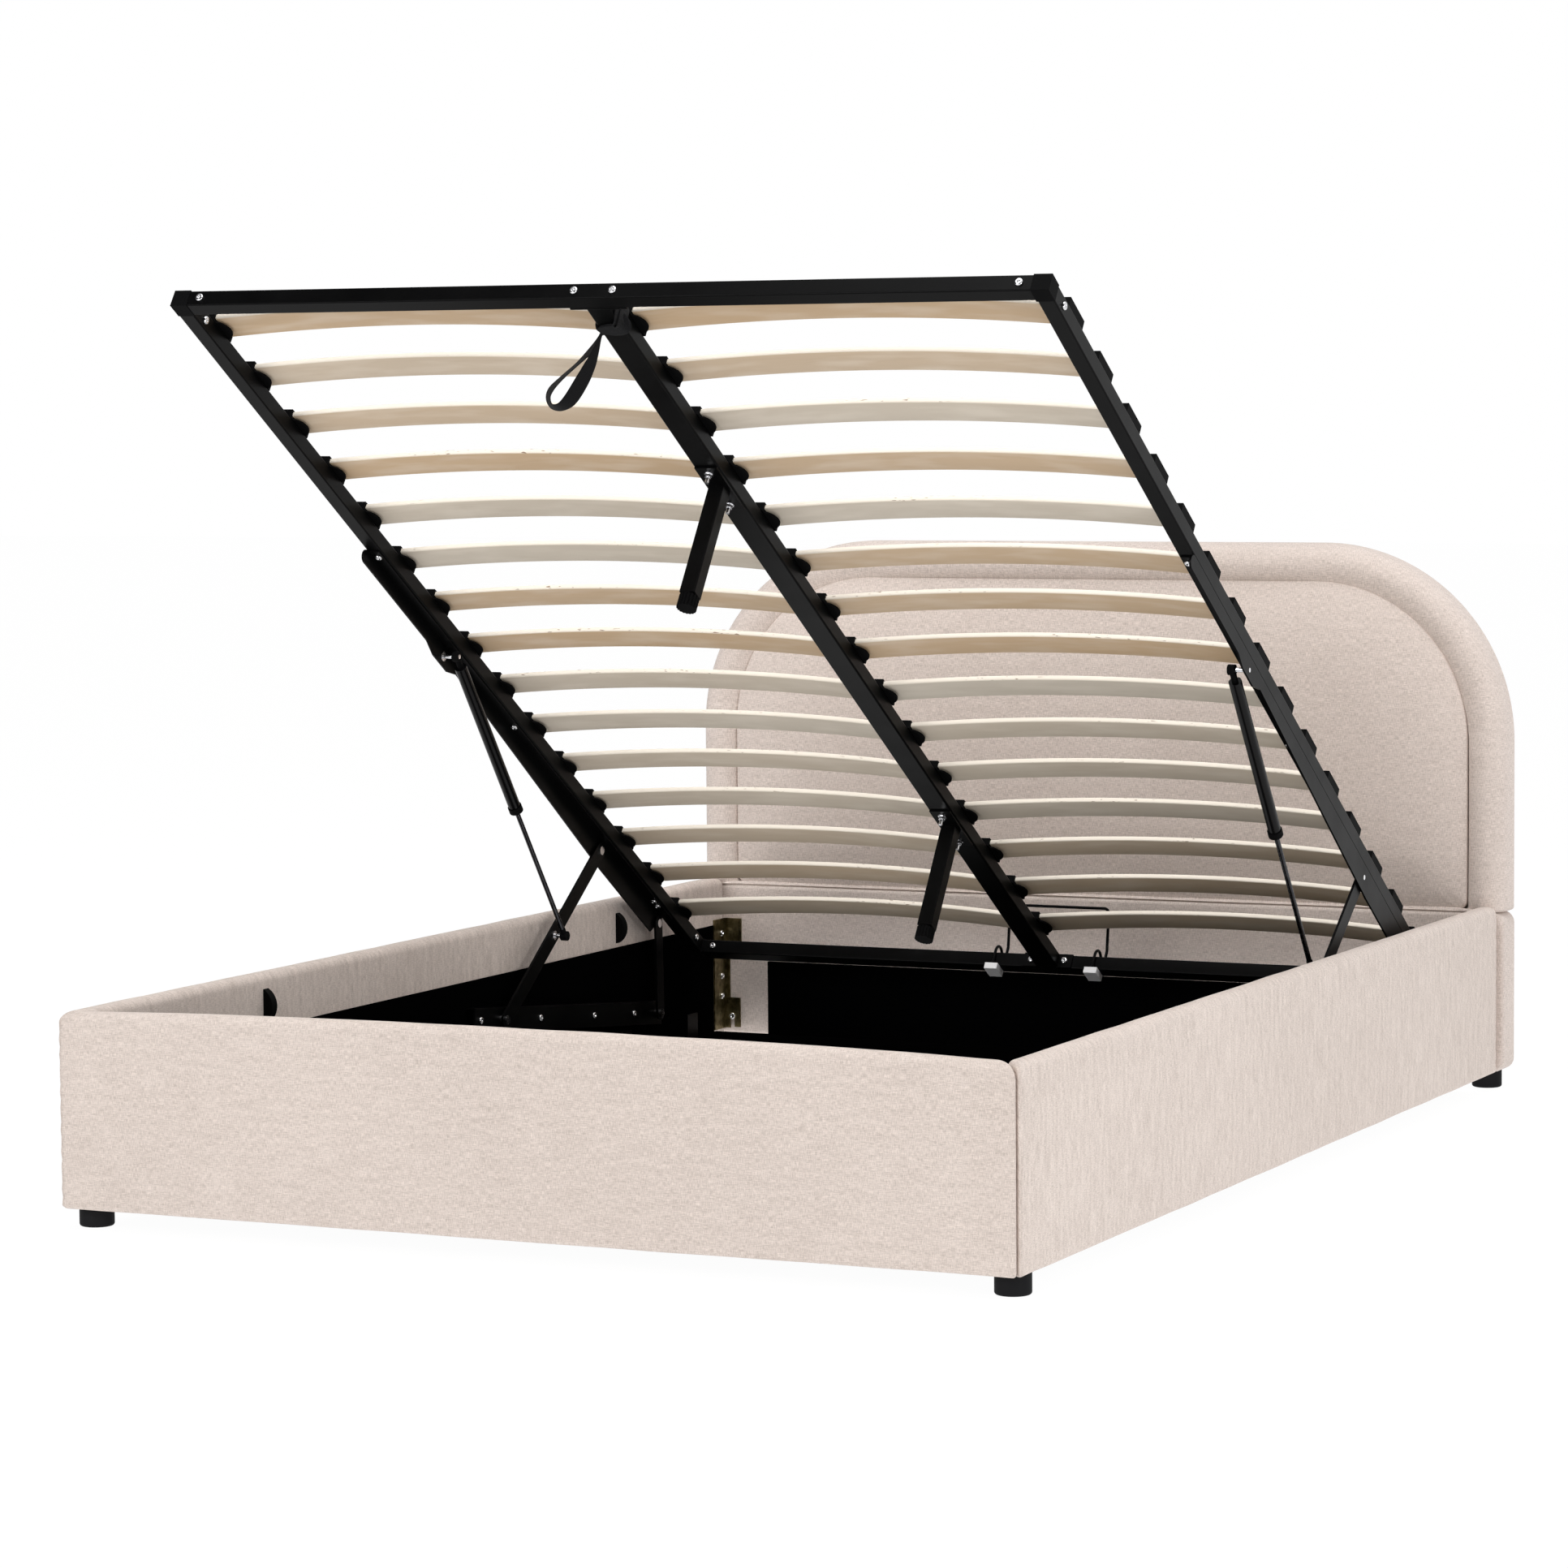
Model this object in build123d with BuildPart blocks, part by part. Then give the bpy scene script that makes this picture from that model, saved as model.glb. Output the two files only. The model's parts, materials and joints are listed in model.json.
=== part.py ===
"""Upholstered lift-up storage bed, shown open, in millimetres.

Own frame: +X to the bed's right, +Y from foot board to headboard, +Z up.
Origin: on the floor under the middle of the whole bed.
Deck places are given as t, the distance from the deck's foot end, and n, the height above its tubes.
"""

import os
from math import cos, hypot, radians, sin

from build123d import *

os.makedirs("parts", exist_ok=True)

# Driving sizes of the upholstered base
bed_width = 1470.0
rail_length = 2100.0
foot_height = 30.0
foot_diameter = 50.0
foot_inset_x = 30.0
foot_inset_front = 50.0
foot_inset_rear = 26.0
foot_edge = 4.0
rail_height = 280.0
rail_thickness = 34.0
rail_round = 14.0
rail_edge = 5.0
mitre_clearance = 0.3
seam_clearance = 0.4
cut_overrun = 20.0

# Driving sizes of the headboard
headboard_thickness = 65.0
headboard_overhang = 6.0
headboard_top = 910.0
headboard_corner = 325.0
headboard_seam_height = 298.0
headboard_front_edge = 16.0
headboard_back_edge = 7.0
lower_panel_inset = 5.0
border_side_width = 62.0
border_top_width = 59.0
pad_seam_gap = 18.0
pad_corner = 265.0
pad_foot_corner = 14.0
pad_depth = 42.0
pad_proud = 10.0
pad_edge = 13.0
pad_clearance = 0.4

# Driving sizes of the storage box
board_thickness = 6.0
board_gap = 1.0
leg_hole_radius = 32.0
liner_thickness = 1.5
liner_top = 228.0
head_wall_side_gap = 145.0
head_wall_top = 168.0
head_wall_setback = 56.0
head_wall_thickness = 8.0
wall_bracket_inset = 140.0
wall_bracket_width = 30.0
wall_bracket_height = 60.0
board_bracket_metal = 2.0
board_bracket_width = 40.0
board_bracket_height = 50.0
board_bracket_tongue = 30.0
board_bracket_shares = (0.086, 0.19, 0.333, 0.495, 0.657, 0.81, 0.933)
front_bracket_shares = (-0.571, 0.0, 0.571)
glide_radius = 16.0
glide_side_share = 0.449
glide_shares = (0.129, 0.376, 0.614, 0.857)
guide_height = 52.0
guide_bottom = 235.0
guide_depth = 15.0
guide_reach = 15.5
guide_shares = (0.2448, 0.799)

# Driving sizes of the corner ironwork
bracket_height = 198.0
bracket_bottom = 39.0
bracket_rail_leaf = 48.0
bracket_end_leaf = 11.0
bracket_tab_reach = 34.0
bracket_tab_height = 42.0
bracket_metal = 3.0
bracket_clearance = 2.0
hook_width = 29.0
hook_height = 53.0
hook_bottom = 41.0
hook_slot_radius = 4.5
hook_bolt_inset = 16.5
hook_bolt_height = 61.0
bracket_bolt_inset = 20.0
bracket_bolt_heights = (98.0, 134.0, 211.0)

# Driving sizes of the lift linkage, places measured from the headboard face and the floor
front_pivot_setback = 878.0
front_pivot_height = 157.0
rear_pivot_setback = 316.0
rear_pivot_height = 103.0
channel_height = 40.0
channel_metal = 3.0
channel_lead = 92.0
channel_tail = 22.0
channel_bolts = (-73.0, 134.0, 328.0, 478.0)
web_gap = 2.0
link_gap = 8.0
link_metal = 4.0
front_link_width = 28.0
rear_link_width = 25.0
pivot_radius = 4.0
pivot_head_radius = 7.5
pivot_head_height = 2.0
pivot_clearance = 0.1
joint_clearance = 1.0
spacer_radius = 8.0
strut_seat_share = 0.49

# Driving sizes of the slatted deck
deck_tilt = 33.75
deck_head_setback = 157.34
deck_head_height = 204.09
deck_length_gap = 79.0
deck_side_gap = 55.0
closed_deck_inset = 47.4
tube = 25.0
tube_wall = 1.5
tube_corner = 2.0
elbow_size = 26.5
elbow_proud = 0.6
elbow_tongue = 30.0
elbow_play = 0.4
beam_width = 40.0
beam_corner = 3.0
beam_plate_width = 88.0
beam_plate_metal = 3.0
beam_bolt_x = 30.0
corner_bolt_inset = 45.0
side_bolt_inset = 56.0

# Driving sizes of the slats and their holders
slat_rows = 15
slat_first = 102.0
slat_last = 125.6
slat_width = 50.0
slat_thickness = 8.0
slat_lift = 3.5
slat_crown = 18.0
slat_end_inset = 11.0
slat_beam_inset = 6.0
slat_play = 0.2
holder_length = 58.0
holder_height = 14.0
holder_inset = 1.0
holder_lip_radius = 22.0
holder_lip_reach = 15.0
holder_lip_thickness = 2.5
twin_half = 22.0

# Driving sizes of the lift arms
arm_start_inset = 1367.0
arm_end_inset = 153.0
arm_metal = 3.0
arm_flange_width = 22.0
arm_flange_metal = 2.5
arm_nose_depth = 22.0
arm_lobe_depth = 31.0
arm_lobe_half = 26.0
arm_lobe_ramp = 30.0
arm_waist_depth = 19.0
arm_mid_depth = 25.0
arm_mid_inset = 865.0
arm_low_depth = 42.0
arm_tail_inset = 179.0
arm_screw_insets = (1341.0, 818.0, 218.0, 201.0)
front_joint_inset = 427.0
front_joint_drop = 43.0
rear_joint_inset = 167.0
rear_joint_drop = 44.0
strut_joint_inset = 1067.0
strut_joint_drop = 43.0

# Driving sizes of the gas struts, lengths measured from the upper ball stud
strut_side_gap = 28.0
strut_radius = 10.0
strut_wall = 1.6
strut_neck_length = 22.0
strut_cylinder_share = 0.487
strut_collar_length = 22.0
strut_collar_radius = 11.5
rod_radius = 4.0
rod_overlap_share = 0.150
rod_clearance = 0.1
piston_length = 14.0
piston_clearance = 0.3
socket_radius = 8.0
socket_width = 11.0
socket_neck_radius = 5.0
stud_radius = 3.5
stud_flange_radius = 7.5
stud_flange_height = 2.0

# Driving sizes of the support legs
front_leg_inset = 484.0
rear_leg_inset = 517.0
leg_square = 25.0
leg_wall = 2.0
leg_corner = 2.0
leg_length = 182.0
leg_plate_length = 112.0
leg_plate_width = 36.0
leg_plate_metal = 3.0
leg_bolt_offset = 41.0
leg_bolt_reach = 16.0
nut_radius = 5.7
nut_height = 6.5
nut_flange_radius = 7.0
nut_flange_height = 1.5
glide_foot_radius = 15.0
glide_foot_height = 20.0
glide_rib_depth = 1.2
glide_rib_count = 18
glide_stem_radius = 5.0
glide_stem_length = 60.0
glide_stem_clearance = 0.1
leg_plug_height = 12.0
glide_gap = 2.0

# Driving sizes of small fittings
screw_radius = 6.0
screw_height = 3.5
screw_socket_radius = 3.0
screw_socket_depth = 2.0
hexagon_sides = 6
screw_shank_radius = 3.0
strap_width = 26.0
strap_thickness = 2.0
strap_clearance = 0.4
strap_t = 57.0
strap_drop = 24.0
strap_loop_length = 108.0
strap_loop_half = 17.0
strap_seam = 6.0
strap_belly_share = 0.62
strap_x = -20.0
strap_lean = 25.0
wire_radius = 2.5
wire_centre_x = -8.0
wire_half_width = 91.0
wire_rise = 98.0
wire_waist = 32.0
wire_lean = 32.0
wire_dip = 16.0
wire_bend = 8.0
wire_clearance = 0.4
block_width = 23.0
block_length = 31.0
block_height = 11.0
block_lead = 9.0
block_floor = 4.0

# Derived positions shared by mating pieces
half_width = bed_width / 2
headboard_half_width = half_width + headboard_overhang
pad_half_width = headboard_half_width - border_side_width
pad_top = headboard_top - border_top_width
pad_bottom = headboard_seam_height + pad_seam_gap
head_wall_half_width = half_width - head_wall_side_gap
wall_bracket_x = head_wall_half_width - wall_bracket_inset
glide_x = half_width * glide_side_share
overall_length = rail_length + headboard_thickness
foot_face = -overall_length / 2
head_face = foot_face + rail_length
back_face = foot_face + overall_length
rail_bottom = foot_height
rail_top = rail_bottom + rail_height
rail_inner = half_width - rail_thickness
liner_inner = rail_inner - liner_thickness
box_front = foot_face + rail_thickness
wall_front = head_face - head_wall_setback
tilt = radians(deck_tilt)
deck_length = rail_length - deck_length_gap
deck_half_width = half_width - deck_side_gap
deck_foot = (
    head_face - deck_head_setback - deck_length * cos(tilt),
    deck_head_height + deck_length * sin(tilt),
)
front_pivot = (head_face - front_pivot_setback, front_pivot_height)
rear_pivot = (head_face - rear_pivot_setback, rear_pivot_height)
link_inner = deck_half_width - link_gap
web_inner = deck_half_width + web_gap
strut_plane = deck_half_width - strut_side_gap
corner_bolt_x = deck_half_width - corner_bolt_inset
leg_stations = (front_leg_inset, deck_length - rear_leg_inset)
arm_start = deck_length - arm_start_inset
arm_mid = deck_length - arm_mid_inset
arm_tail = deck_length - arm_tail_inset
arm_end = deck_length - arm_end_inset
front_joint_t = deck_length - front_joint_inset
rear_joint_t = deck_length - rear_joint_inset
strut_joint_t = deck_length - strut_joint_inset
slat_pitch = (deck_length - slat_first - slat_last) / (slat_rows - 1)
board_bottom = rail_bottom + board_bracket_metal
board_top = board_bottom + board_thickness
tube_inner = deck_half_width - tube
link_outer = link_inner + link_metal
arm_inner = deck_half_width - arm_metal
slat_places = [slat_first + slat_pitch * row for row in range(slat_rows)]
pin_head_inner = link_inner - pivot_head_height


def deck_point(t, n):
    """World Y and Z of a deck point t from the foot end and n above the tubes."""
    y = deck_foot[0] + t * cos(tilt) + n * sin(tilt)
    z = deck_foot[1] - t * sin(tilt) + n * cos(tilt)
    return (y, z)


def deck_plane(n):
    """Plane parallel to the deck at height n, local Y toward the headboard."""
    y, z = deck_point(0, n)
    return Plane(origin=(0, y, z), x_dir=(1, 0, 0), z_dir=(0, sin(tilt), cos(tilt)))


def deck_section(t):
    """Plane across the deck at t, local Y up from the deck, facing the foot end."""
    y, z = deck_point(t, 0)
    return Plane(origin=(0, y, z), x_dir=(1, 0, 0), z_dir=(0, -cos(tilt), sin(tilt)))


def deck_side(x):
    """Upright plane along the deck at x, local X toward the headboard, facing right."""
    along = (0, cos(tilt), -sin(tilt))
    return Plane(origin=(x, deck_foot[0], deck_foot[1]), x_dir=along, z_dir=(1, 0, 0))


def line_plane(x, start, end):
    """Upright plane at x with its local X axis running from start to end, facing right."""
    run = (0, end[0] - start[0], end[1] - start[1])
    return Plane(origin=(x, start[0], start[1]), x_dir=run, z_dir=(1, 0, 0))


def distance(start, end):
    """Straight distance between two points of an upright plane."""
    return hypot(end[0] - start[0], end[1] - start[1])


def block(x_ends, y_ends, z_ends, mode=Mode.ADD):
    """Square block between two values along each axis of the bed."""
    with BuildSketch(Plane.XY.offset(z_ends[0])) as plan:
        with Locations(((x_ends[0] + x_ends[1]) / 2, (y_ends[0] + y_ends[1]) / 2)):
            Rectangle(abs(x_ends[1] - x_ends[0]), abs(y_ends[1] - y_ends[0]))
    extrude(plan.sketch, amount=z_ends[1] - z_ends[0], mode=mode)


def deck_block(x_ends, t_ends, n_ends, mode=Mode.ADD):
    """Square block between two values of x, t and n on the deck."""
    with BuildSketch(deck_plane(n_ends[0])) as plan:
        with Locations(((x_ends[0] + x_ends[1]) / 2, (t_ends[0] + t_ends[1]) / 2)):
            Rectangle(abs(x_ends[1] - x_ends[0]), abs(t_ends[1] - t_ends[0]))
    extrude(plan.sketch, amount=n_ends[1] - n_ends[0], mode=mode)


def cross_rod(side, inner, outer, point, radius, mode=Mode.ADD):
    """Round rod across the bed on one side, between two distances from the middle."""
    face = Plane(origin=(side * inner, point[0], point[1]), x_dir=(0, 1, 0), z_dir=(1, 0, 0))
    with BuildSketch(face) as section:
        Circle(radius)
    extrude(section.sketch, amount=side * (outer - inner), mode=mode)


def length_rod(x, near, far, height, radius, mode=Mode.ADD):
    """Round rod along the bed at x and a height, between two places on the bed's length."""
    face = Plane(origin=(x, near, height), x_dir=(1, 0, 0), z_dir=(0, 1, 0))
    with BuildSketch(face) as section:
        Circle(radius)
    extrude(section.sketch, amount=far - near, mode=mode)


def deck_rod(x, t, n_ends, radius, mode=Mode.ADD):
    """Round rod square to the deck at x and t."""
    with BuildSketch(deck_plane(n_ends[0])) as section:
        with Locations((x, t)):
            Circle(radius)
    extrude(section.sketch, amount=n_ends[1] - n_ends[0], mode=mode)


def square_tube(width, height, corner, wall):
    """Section of a rounded rectangular tube centred on the sketch."""
    RectangleRounded(width, height, corner)
    RectangleRounded(width - 2 * wall, height - 2 * wall, corner - wall / 2, mode=Mode.SUBTRACT)


def save(part, name):
    """Label one sub-part and write its STEP file."""
    part.label = name
    export_step(part, f"parts/{name}.step")


front_joint = deck_point(front_joint_t, -front_joint_drop)
rear_joint = deck_point(rear_joint_t, -rear_joint_drop)
strut_joint = deck_point(strut_joint_t, -strut_joint_drop)
strut_seat = (
    front_pivot[0] + strut_seat_share * (front_joint[0] - front_pivot[0]),
    front_pivot[1] + strut_seat_share * (front_joint[1] - front_pivot[1]),
)
channel_length = distance(front_pivot, rear_pivot)
strut_length = distance(strut_joint, strut_seat)
strut_end = strut_neck_length + strut_cylinder_share * strut_length
rod_start = strut_end - rod_overlap_share * strut_length

# Foot board: padded panel with rounded edges and mitred ends
with BuildPart() as foot_board:
    block((-half_width, half_width), (foot_face, box_front), (rail_bottom, rail_top))
    board_edges = foot_board.edges().filter_by(Axis.X).sort_by(Axis.Z)
    fillet(board_edges[2:], radius=rail_round)
    board_edges = foot_board.edges().filter_by(Axis.X).sort_by(Axis.Z)
    fillet(board_edges[:2], radius=rail_edge)
    for side in (-1, 1):
        with BuildSketch(Plane.XY.offset(-cut_overrun)):
            with BuildLine():
                Polyline(
                    (side * (half_width + cut_overrun - mitre_clearance), foot_face - cut_overrun),
                    (side * (half_width + 2 * cut_overrun), foot_face - cut_overrun),
                    (side * (half_width + 2 * cut_overrun), box_front + cut_overrun),
                    (side * (rail_inner - cut_overrun - mitre_clearance), box_front + cut_overrun),
                    close=True,
                )
            make_face()
        extrude(amount=rail_top + 3 * cut_overrun, mode=Mode.SUBTRACT)
save(foot_board.part, "foot_board")

# Left side rail: padded section with rounded edges, mitred at the foot end
with BuildPart() as left_rail:
    block((-half_width, -rail_inner), (foot_face, head_face - seam_clearance), (rail_bottom, rail_top))
    rail_edges = left_rail.edges().filter_by(Axis.Y).sort_by(Axis.Z)
    fillet(rail_edges[2:], radius=rail_round)
    rail_edges = left_rail.edges().filter_by(Axis.Y).sort_by(Axis.Z)
    fillet(rail_edges[:2], radius=rail_edge)
    with BuildSketch(Plane.XY.offset(-cut_overrun)):
        with BuildLine():
            Polyline(
                (-half_width - cut_overrun - mitre_clearance, foot_face - cut_overrun),
                (-rail_inner + cut_overrun - mitre_clearance, box_front + cut_overrun),
                (-rail_inner + cut_overrun, foot_face - cut_overrun),
                close=True,
            )
        make_face()
    extrude(amount=rail_top + 3 * cut_overrun, mode=Mode.SUBTRACT)
save(left_rail.part, "left_rail")

# Right side rail mirrors the left one
with BuildPart() as right_rail:
    mirror(left_rail.part, about=Plane.YZ)
save(right_rail.part, "right_rail")

# Headboard border: padded arch with a shallow pocket for the inner pad
with BuildPart() as headboard_border:
    with BuildSketch(Plane.XZ.offset(-head_face)) as border_outline:
        with Locations((0, (headboard_seam_height + headboard_top) / 2)):
            Rectangle(2 * headboard_half_width, headboard_top - headboard_seam_height)
        fillet(border_outline.vertices().group_by(Axis.Y)[-1], radius=headboard_corner)
    extrude(amount=-headboard_thickness)
    front_rim = headboard_border.faces().sort_by(Axis.Y)[0].edges().sort_by(Axis.Z)
    fillet(front_rim[1:], radius=headboard_front_edge)
    back_rim = headboard_border.faces().sort_by(Axis.Y)[-1].edges().sort_by(Axis.Z)
    fillet(back_rim[1:], radius=headboard_back_edge)
    with BuildSketch(Plane.XZ.offset(-head_face + cut_overrun)) as pocket_outline:
        with Locations((0, (pad_bottom + pad_top) / 2)):
            Rectangle(2 * (pad_half_width + pad_clearance), pad_top - pad_bottom + 2 * pad_clearance)
        fillet(pocket_outline.vertices().group_by(Axis.Y)[-1], radius=pad_corner + pad_clearance)
        fillet(pocket_outline.vertices().group_by(Axis.Y)[0], radius=pad_foot_corner)
    extrude(amount=-(cut_overrun + pad_depth - pad_proud), mode=Mode.SUBTRACT)
save(headboard_border.part, "headboard_border")

# Inner headboard pad: plump panel standing slightly proud of the border
with BuildPart() as headboard_pad:
    with BuildSketch(Plane.XZ.offset(-head_face + pad_proud)) as pad_outline:
        with Locations((0, (pad_bottom + pad_top) / 2)):
            Rectangle(2 * pad_half_width, pad_top - pad_bottom)
        fillet(pad_outline.vertices().group_by(Axis.Y)[-1], radius=pad_corner)
        fillet(pad_outline.vertices().group_by(Axis.Y)[0], radius=pad_foot_corner)
    extrude(amount=-pad_depth)
    fillet(headboard_pad.faces().sort_by(Axis.Y)[0].edges(), radius=pad_edge)
save(headboard_pad.part, "headboard_pad")

# Lower headboard panel: stands on the rear feet, carries the arch and takes the side rails
with BuildPart() as headboard_base:
    lower_half = headboard_half_width - lower_panel_inset
    block((-lower_half, lower_half), (head_face, back_face), (rail_bottom, headboard_seam_height))
    upright_edges = headboard_base.edges().filter_by(Axis.Z).group_by(Axis.Y)[-1]
    fillet(upright_edges, radius=headboard_back_edge)
save(headboard_base.part, "headboard_base")

# Feet: four round glides with a worn lower edge
with BuildPart() as feet:
    with BuildSketch(Plane.XY):
        for side in (-1, 1):
            with Locations(
                (side * (half_width - foot_inset_x), foot_face + foot_inset_front),
                (side * (half_width - foot_inset_x), back_face - foot_inset_rear),
            ):
                Circle(foot_diameter / 2)
    extrude(amount=foot_height)
    fillet(feet.edges().group_by(Axis.Z)[0], radius=foot_edge)
save(feet.part, "feet")

# Dark liners: thin skins on the inner faces of the rails and the foot board
with BuildPart() as liners:
    liner_front = box_front + bracket_rail_leaf + bracket_clearance
    liner_rear = head_face - bracket_rail_leaf - bracket_clearance
    foot_liner_half = rail_inner - bracket_tab_reach - bracket_clearance
    for side in (-1, 1):
        block((side * liner_inner, side * rail_inner), (liner_front, liner_rear), (board_bottom, liner_top))
    liner_y = (box_front, box_front + liner_thickness)
    block((-foot_liner_half, foot_liner_half), liner_y, (board_bottom, liner_top))
save(liners.part, "box_liners")

# Base brackets: steel angles on the liners whose tongues carry the base boards
with BuildPart() as board_brackets:
    for side in (-1, 1):
        leaf_inner = liner_inner - board_bracket_metal
        for share in board_bracket_shares:
            middle = foot_face + share * rail_length
            y_ends = (middle - board_bracket_width / 2, middle + board_bracket_width / 2)
            leaf_top = rail_bottom + board_bracket_height
            block((side * leaf_inner, side * liner_inner), y_ends, (rail_bottom, leaf_top))
            tongue_inner = leaf_inner - board_bracket_tongue
            block((side * tongue_inner, side * leaf_inner), y_ends, (rail_bottom, board_bottom))
    leaf_front = box_front + liner_thickness
    for share in front_bracket_shares:
        middle = share * half_width
        x_ends = (middle - board_bracket_width / 2, middle + board_bracket_width / 2)
        leaf_rear = leaf_front + board_bracket_metal
        block(x_ends, (leaf_front, leaf_rear), (rail_bottom, rail_bottom + board_bracket_height))
        block(x_ends, (leaf_rear, leaf_rear + board_bracket_tongue), (rail_bottom, board_bottom))
save(board_brackets.part, "board_brackets")

# Base boards: three crosswise panels, notched where the support legs come down to the floor
with BuildPart() as base_boards:
    board_half = liner_inner - board_bracket_metal - board_gap
    board_front = leaf_front + board_bracket_metal + board_gap
    board_rear = wall_front + head_wall_thickness + board_gap
    leg_lines = [foot_face + closed_deck_inset + station for station in leg_stations]
    board_lines = [board_front, leg_lines[0], leg_lines[1], board_rear]
    for front, rear in zip(board_lines, board_lines[1:]):
        block((-board_half, board_half), (front, rear - board_gap), (board_bottom, board_top))
    for line in leg_lines:
        with BuildSketch(Plane.XY.offset(board_bottom - cut_overrun)):
            with Locations((0, line)):
                Circle(leg_hole_radius)
        extrude(amount=board_thickness + 2 * cut_overrun, mode=Mode.SUBTRACT)
save(base_boards.part, "base_boards")

# Board glides: round posts that hold the boards' middles off the floor
with BuildPart() as board_glides:
    with BuildSketch(Plane.XY):
        for side in (-1, 1):
            for share in glide_shares:
                with Locations((side * glide_x, foot_face + share * rail_length)):
                    Circle(glide_radius)
    extrude(amount=board_bottom)
save(board_glides.part, "board_glides")

# Head wall: dark panel that closes the storage box short of the headboard
with BuildPart() as head_wall:
    wall_rear = wall_front + head_wall_thickness
    block((-head_wall_half_width, head_wall_half_width), (wall_front, wall_rear), (board_top, head_wall_top))
save(head_wall.part, "head_wall")

# Wall brackets: angles that tie the head wall back to the headboard
with BuildPart() as wall_brackets:
    bracket_top = board_top + wall_bracket_height
    for side in (-1, 1):
        near_x = wall_bracket_x - wall_bracket_width / 2
        x_ends = (side * near_x, side * (near_x + wall_bracket_width))
        block(x_ends, (wall_rear, head_face), (bracket_top - board_bracket_metal, bracket_top))
        block(x_ends, (wall_rear, wall_rear + board_bracket_metal), (board_top, bracket_top))
        block(x_ends, (head_face - board_bracket_metal, head_face), (board_top, bracket_top))
save(wall_brackets.part, "wall_brackets")

# Side guides: half-round stops that steady the deck as it comes down
with BuildPart() as side_guides:
    for side in (-1, 1):
        for share in guide_shares:
            with BuildSketch(Plane.XZ.offset(guide_depth / 2 - foot_face - share * rail_length)):
                with BuildLine():
                    low = (side * rail_inner, guide_bottom)
                    high = (side * rail_inner, guide_bottom + guide_height)
                    Line(low, high)
                    nose = (side * (rail_inner - guide_reach), guide_bottom + guide_height / 2)
                    ThreePointArc(high, nose, low)
                make_face()
            extrude(amount=-guide_depth)
save(side_guides.part, "side_guides")

# Corner brackets: steel angles with a wide top tab that bolt the rails to the headboard and the foot board
with BuildPart() as corner_brackets:
    z_ends = (bracket_bottom, bracket_bottom + bracket_height)
    tab_z = (bracket_bottom + bracket_height - bracket_tab_height, bracket_bottom + bracket_height)
    for side in (-1, 1):
        leaf_x = (side * (rail_inner - bracket_metal), side * rail_inner)
        end_x = (side * (rail_inner - bracket_end_leaf), side * (rail_inner - bracket_metal))
        tab_x = (side * (rail_inner - bracket_tab_reach), side * (rail_inner - bracket_end_leaf))
        block(leaf_x, (head_face - bracket_rail_leaf, head_face), z_ends)
        block(end_x, (head_face - bracket_metal, head_face), z_ends)
        block(tab_x, (head_face - bracket_metal, head_face), tab_z)
        block(leaf_x, (box_front, box_front + bracket_rail_leaf), z_ends)
        block(end_x, (box_front, box_front + bracket_metal), z_ends)
        block(tab_x, (box_front, box_front + bracket_metal), tab_z)
save(corner_brackets.part, "corner_brackets")

# Hook plates: slotted plates that lie on the brackets' end leaves and hang over the hook bolts
with BuildPart() as hook_plates:
    hook_x = rail_inner - bracket_metal
    bolt_x = rail_inner - hook_bolt_inset
    for side in (-1, 1):
        plate_x = (side * (hook_x - hook_width), side * hook_x)
        slot_x = (side * (bolt_x - hook_slot_radius), side * (bolt_x + hook_slot_radius))
        for near, far in (
            (head_face - 2 * bracket_metal, head_face - bracket_metal),
            (box_front + bracket_metal, box_front + 2 * bracket_metal),
        ):
            block(plate_x, (near, far), (hook_bottom, hook_bottom + hook_height))
            block(slot_x, (near, far), (hook_bottom - cut_overrun, hook_bolt_height), Mode.SUBTRACT)
            length_rod(side * bolt_x, near, far, hook_bolt_height, hook_slot_radius, Mode.SUBTRACT)
save(hook_plates.part, "hook_plates")

# Corner bolts: round heads down each corner bracket, and a hook bolt through each hook plate's slot
with BuildPart() as corner_bolts:
    for side in (-1, 1):
        for middle in (head_face - bracket_bolt_inset, box_front + bracket_bolt_inset):
            for height in bracket_bolt_heights:
                cross_rod(side, hook_x - screw_height, hook_x, (middle, height), screw_radius)
        for face, way in ((head_face, -1), (box_front, 1)):
            seat = face + way * 2 * bracket_metal
            length_rod(side * bolt_x, face, seat, hook_bolt_height, hook_slot_radius)
            length_rod(side * bolt_x, seat, seat + way * screw_height, hook_bolt_height, screw_radius)
save(corner_bolts.part, "corner_bolts")

# Base channels: folded steel channels bolted inside the rails, tipping down toward the headboard
with BuildPart() as base_channels:
    for side in (-1, 1):
        centre = ((channel_length + channel_tail - channel_lead) / 2, 0)
        length = channel_length + channel_tail + channel_lead
        with BuildSketch(line_plane(side * web_inner, front_pivot, rear_pivot)):
            with Locations(centre):
                Rectangle(length, channel_height)
        extrude(amount=side * (liner_inner - web_inner))
        with BuildSketch(line_plane(side * (web_inner + channel_metal), front_pivot, rear_pivot)):
            with Locations(centre):
                Rectangle(length + 2 * cut_overrun, channel_height - 2 * channel_metal)
        extrude(amount=side * (liner_inner - web_inner), mode=Mode.SUBTRACT)
        with BuildSketch(line_plane(side * (web_inner - channel_metal), front_pivot, rear_pivot)):
            with Locations(*[(place, 0) for place in channel_bolts]):
                Circle(screw_shank_radius)
            with Locations((0, 0), (channel_length, 0)):
                Circle(pivot_radius)
        extrude(amount=side * (liner_inner - web_inner), mode=Mode.SUBTRACT)
save(base_channels.part, "base_channels")

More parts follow.
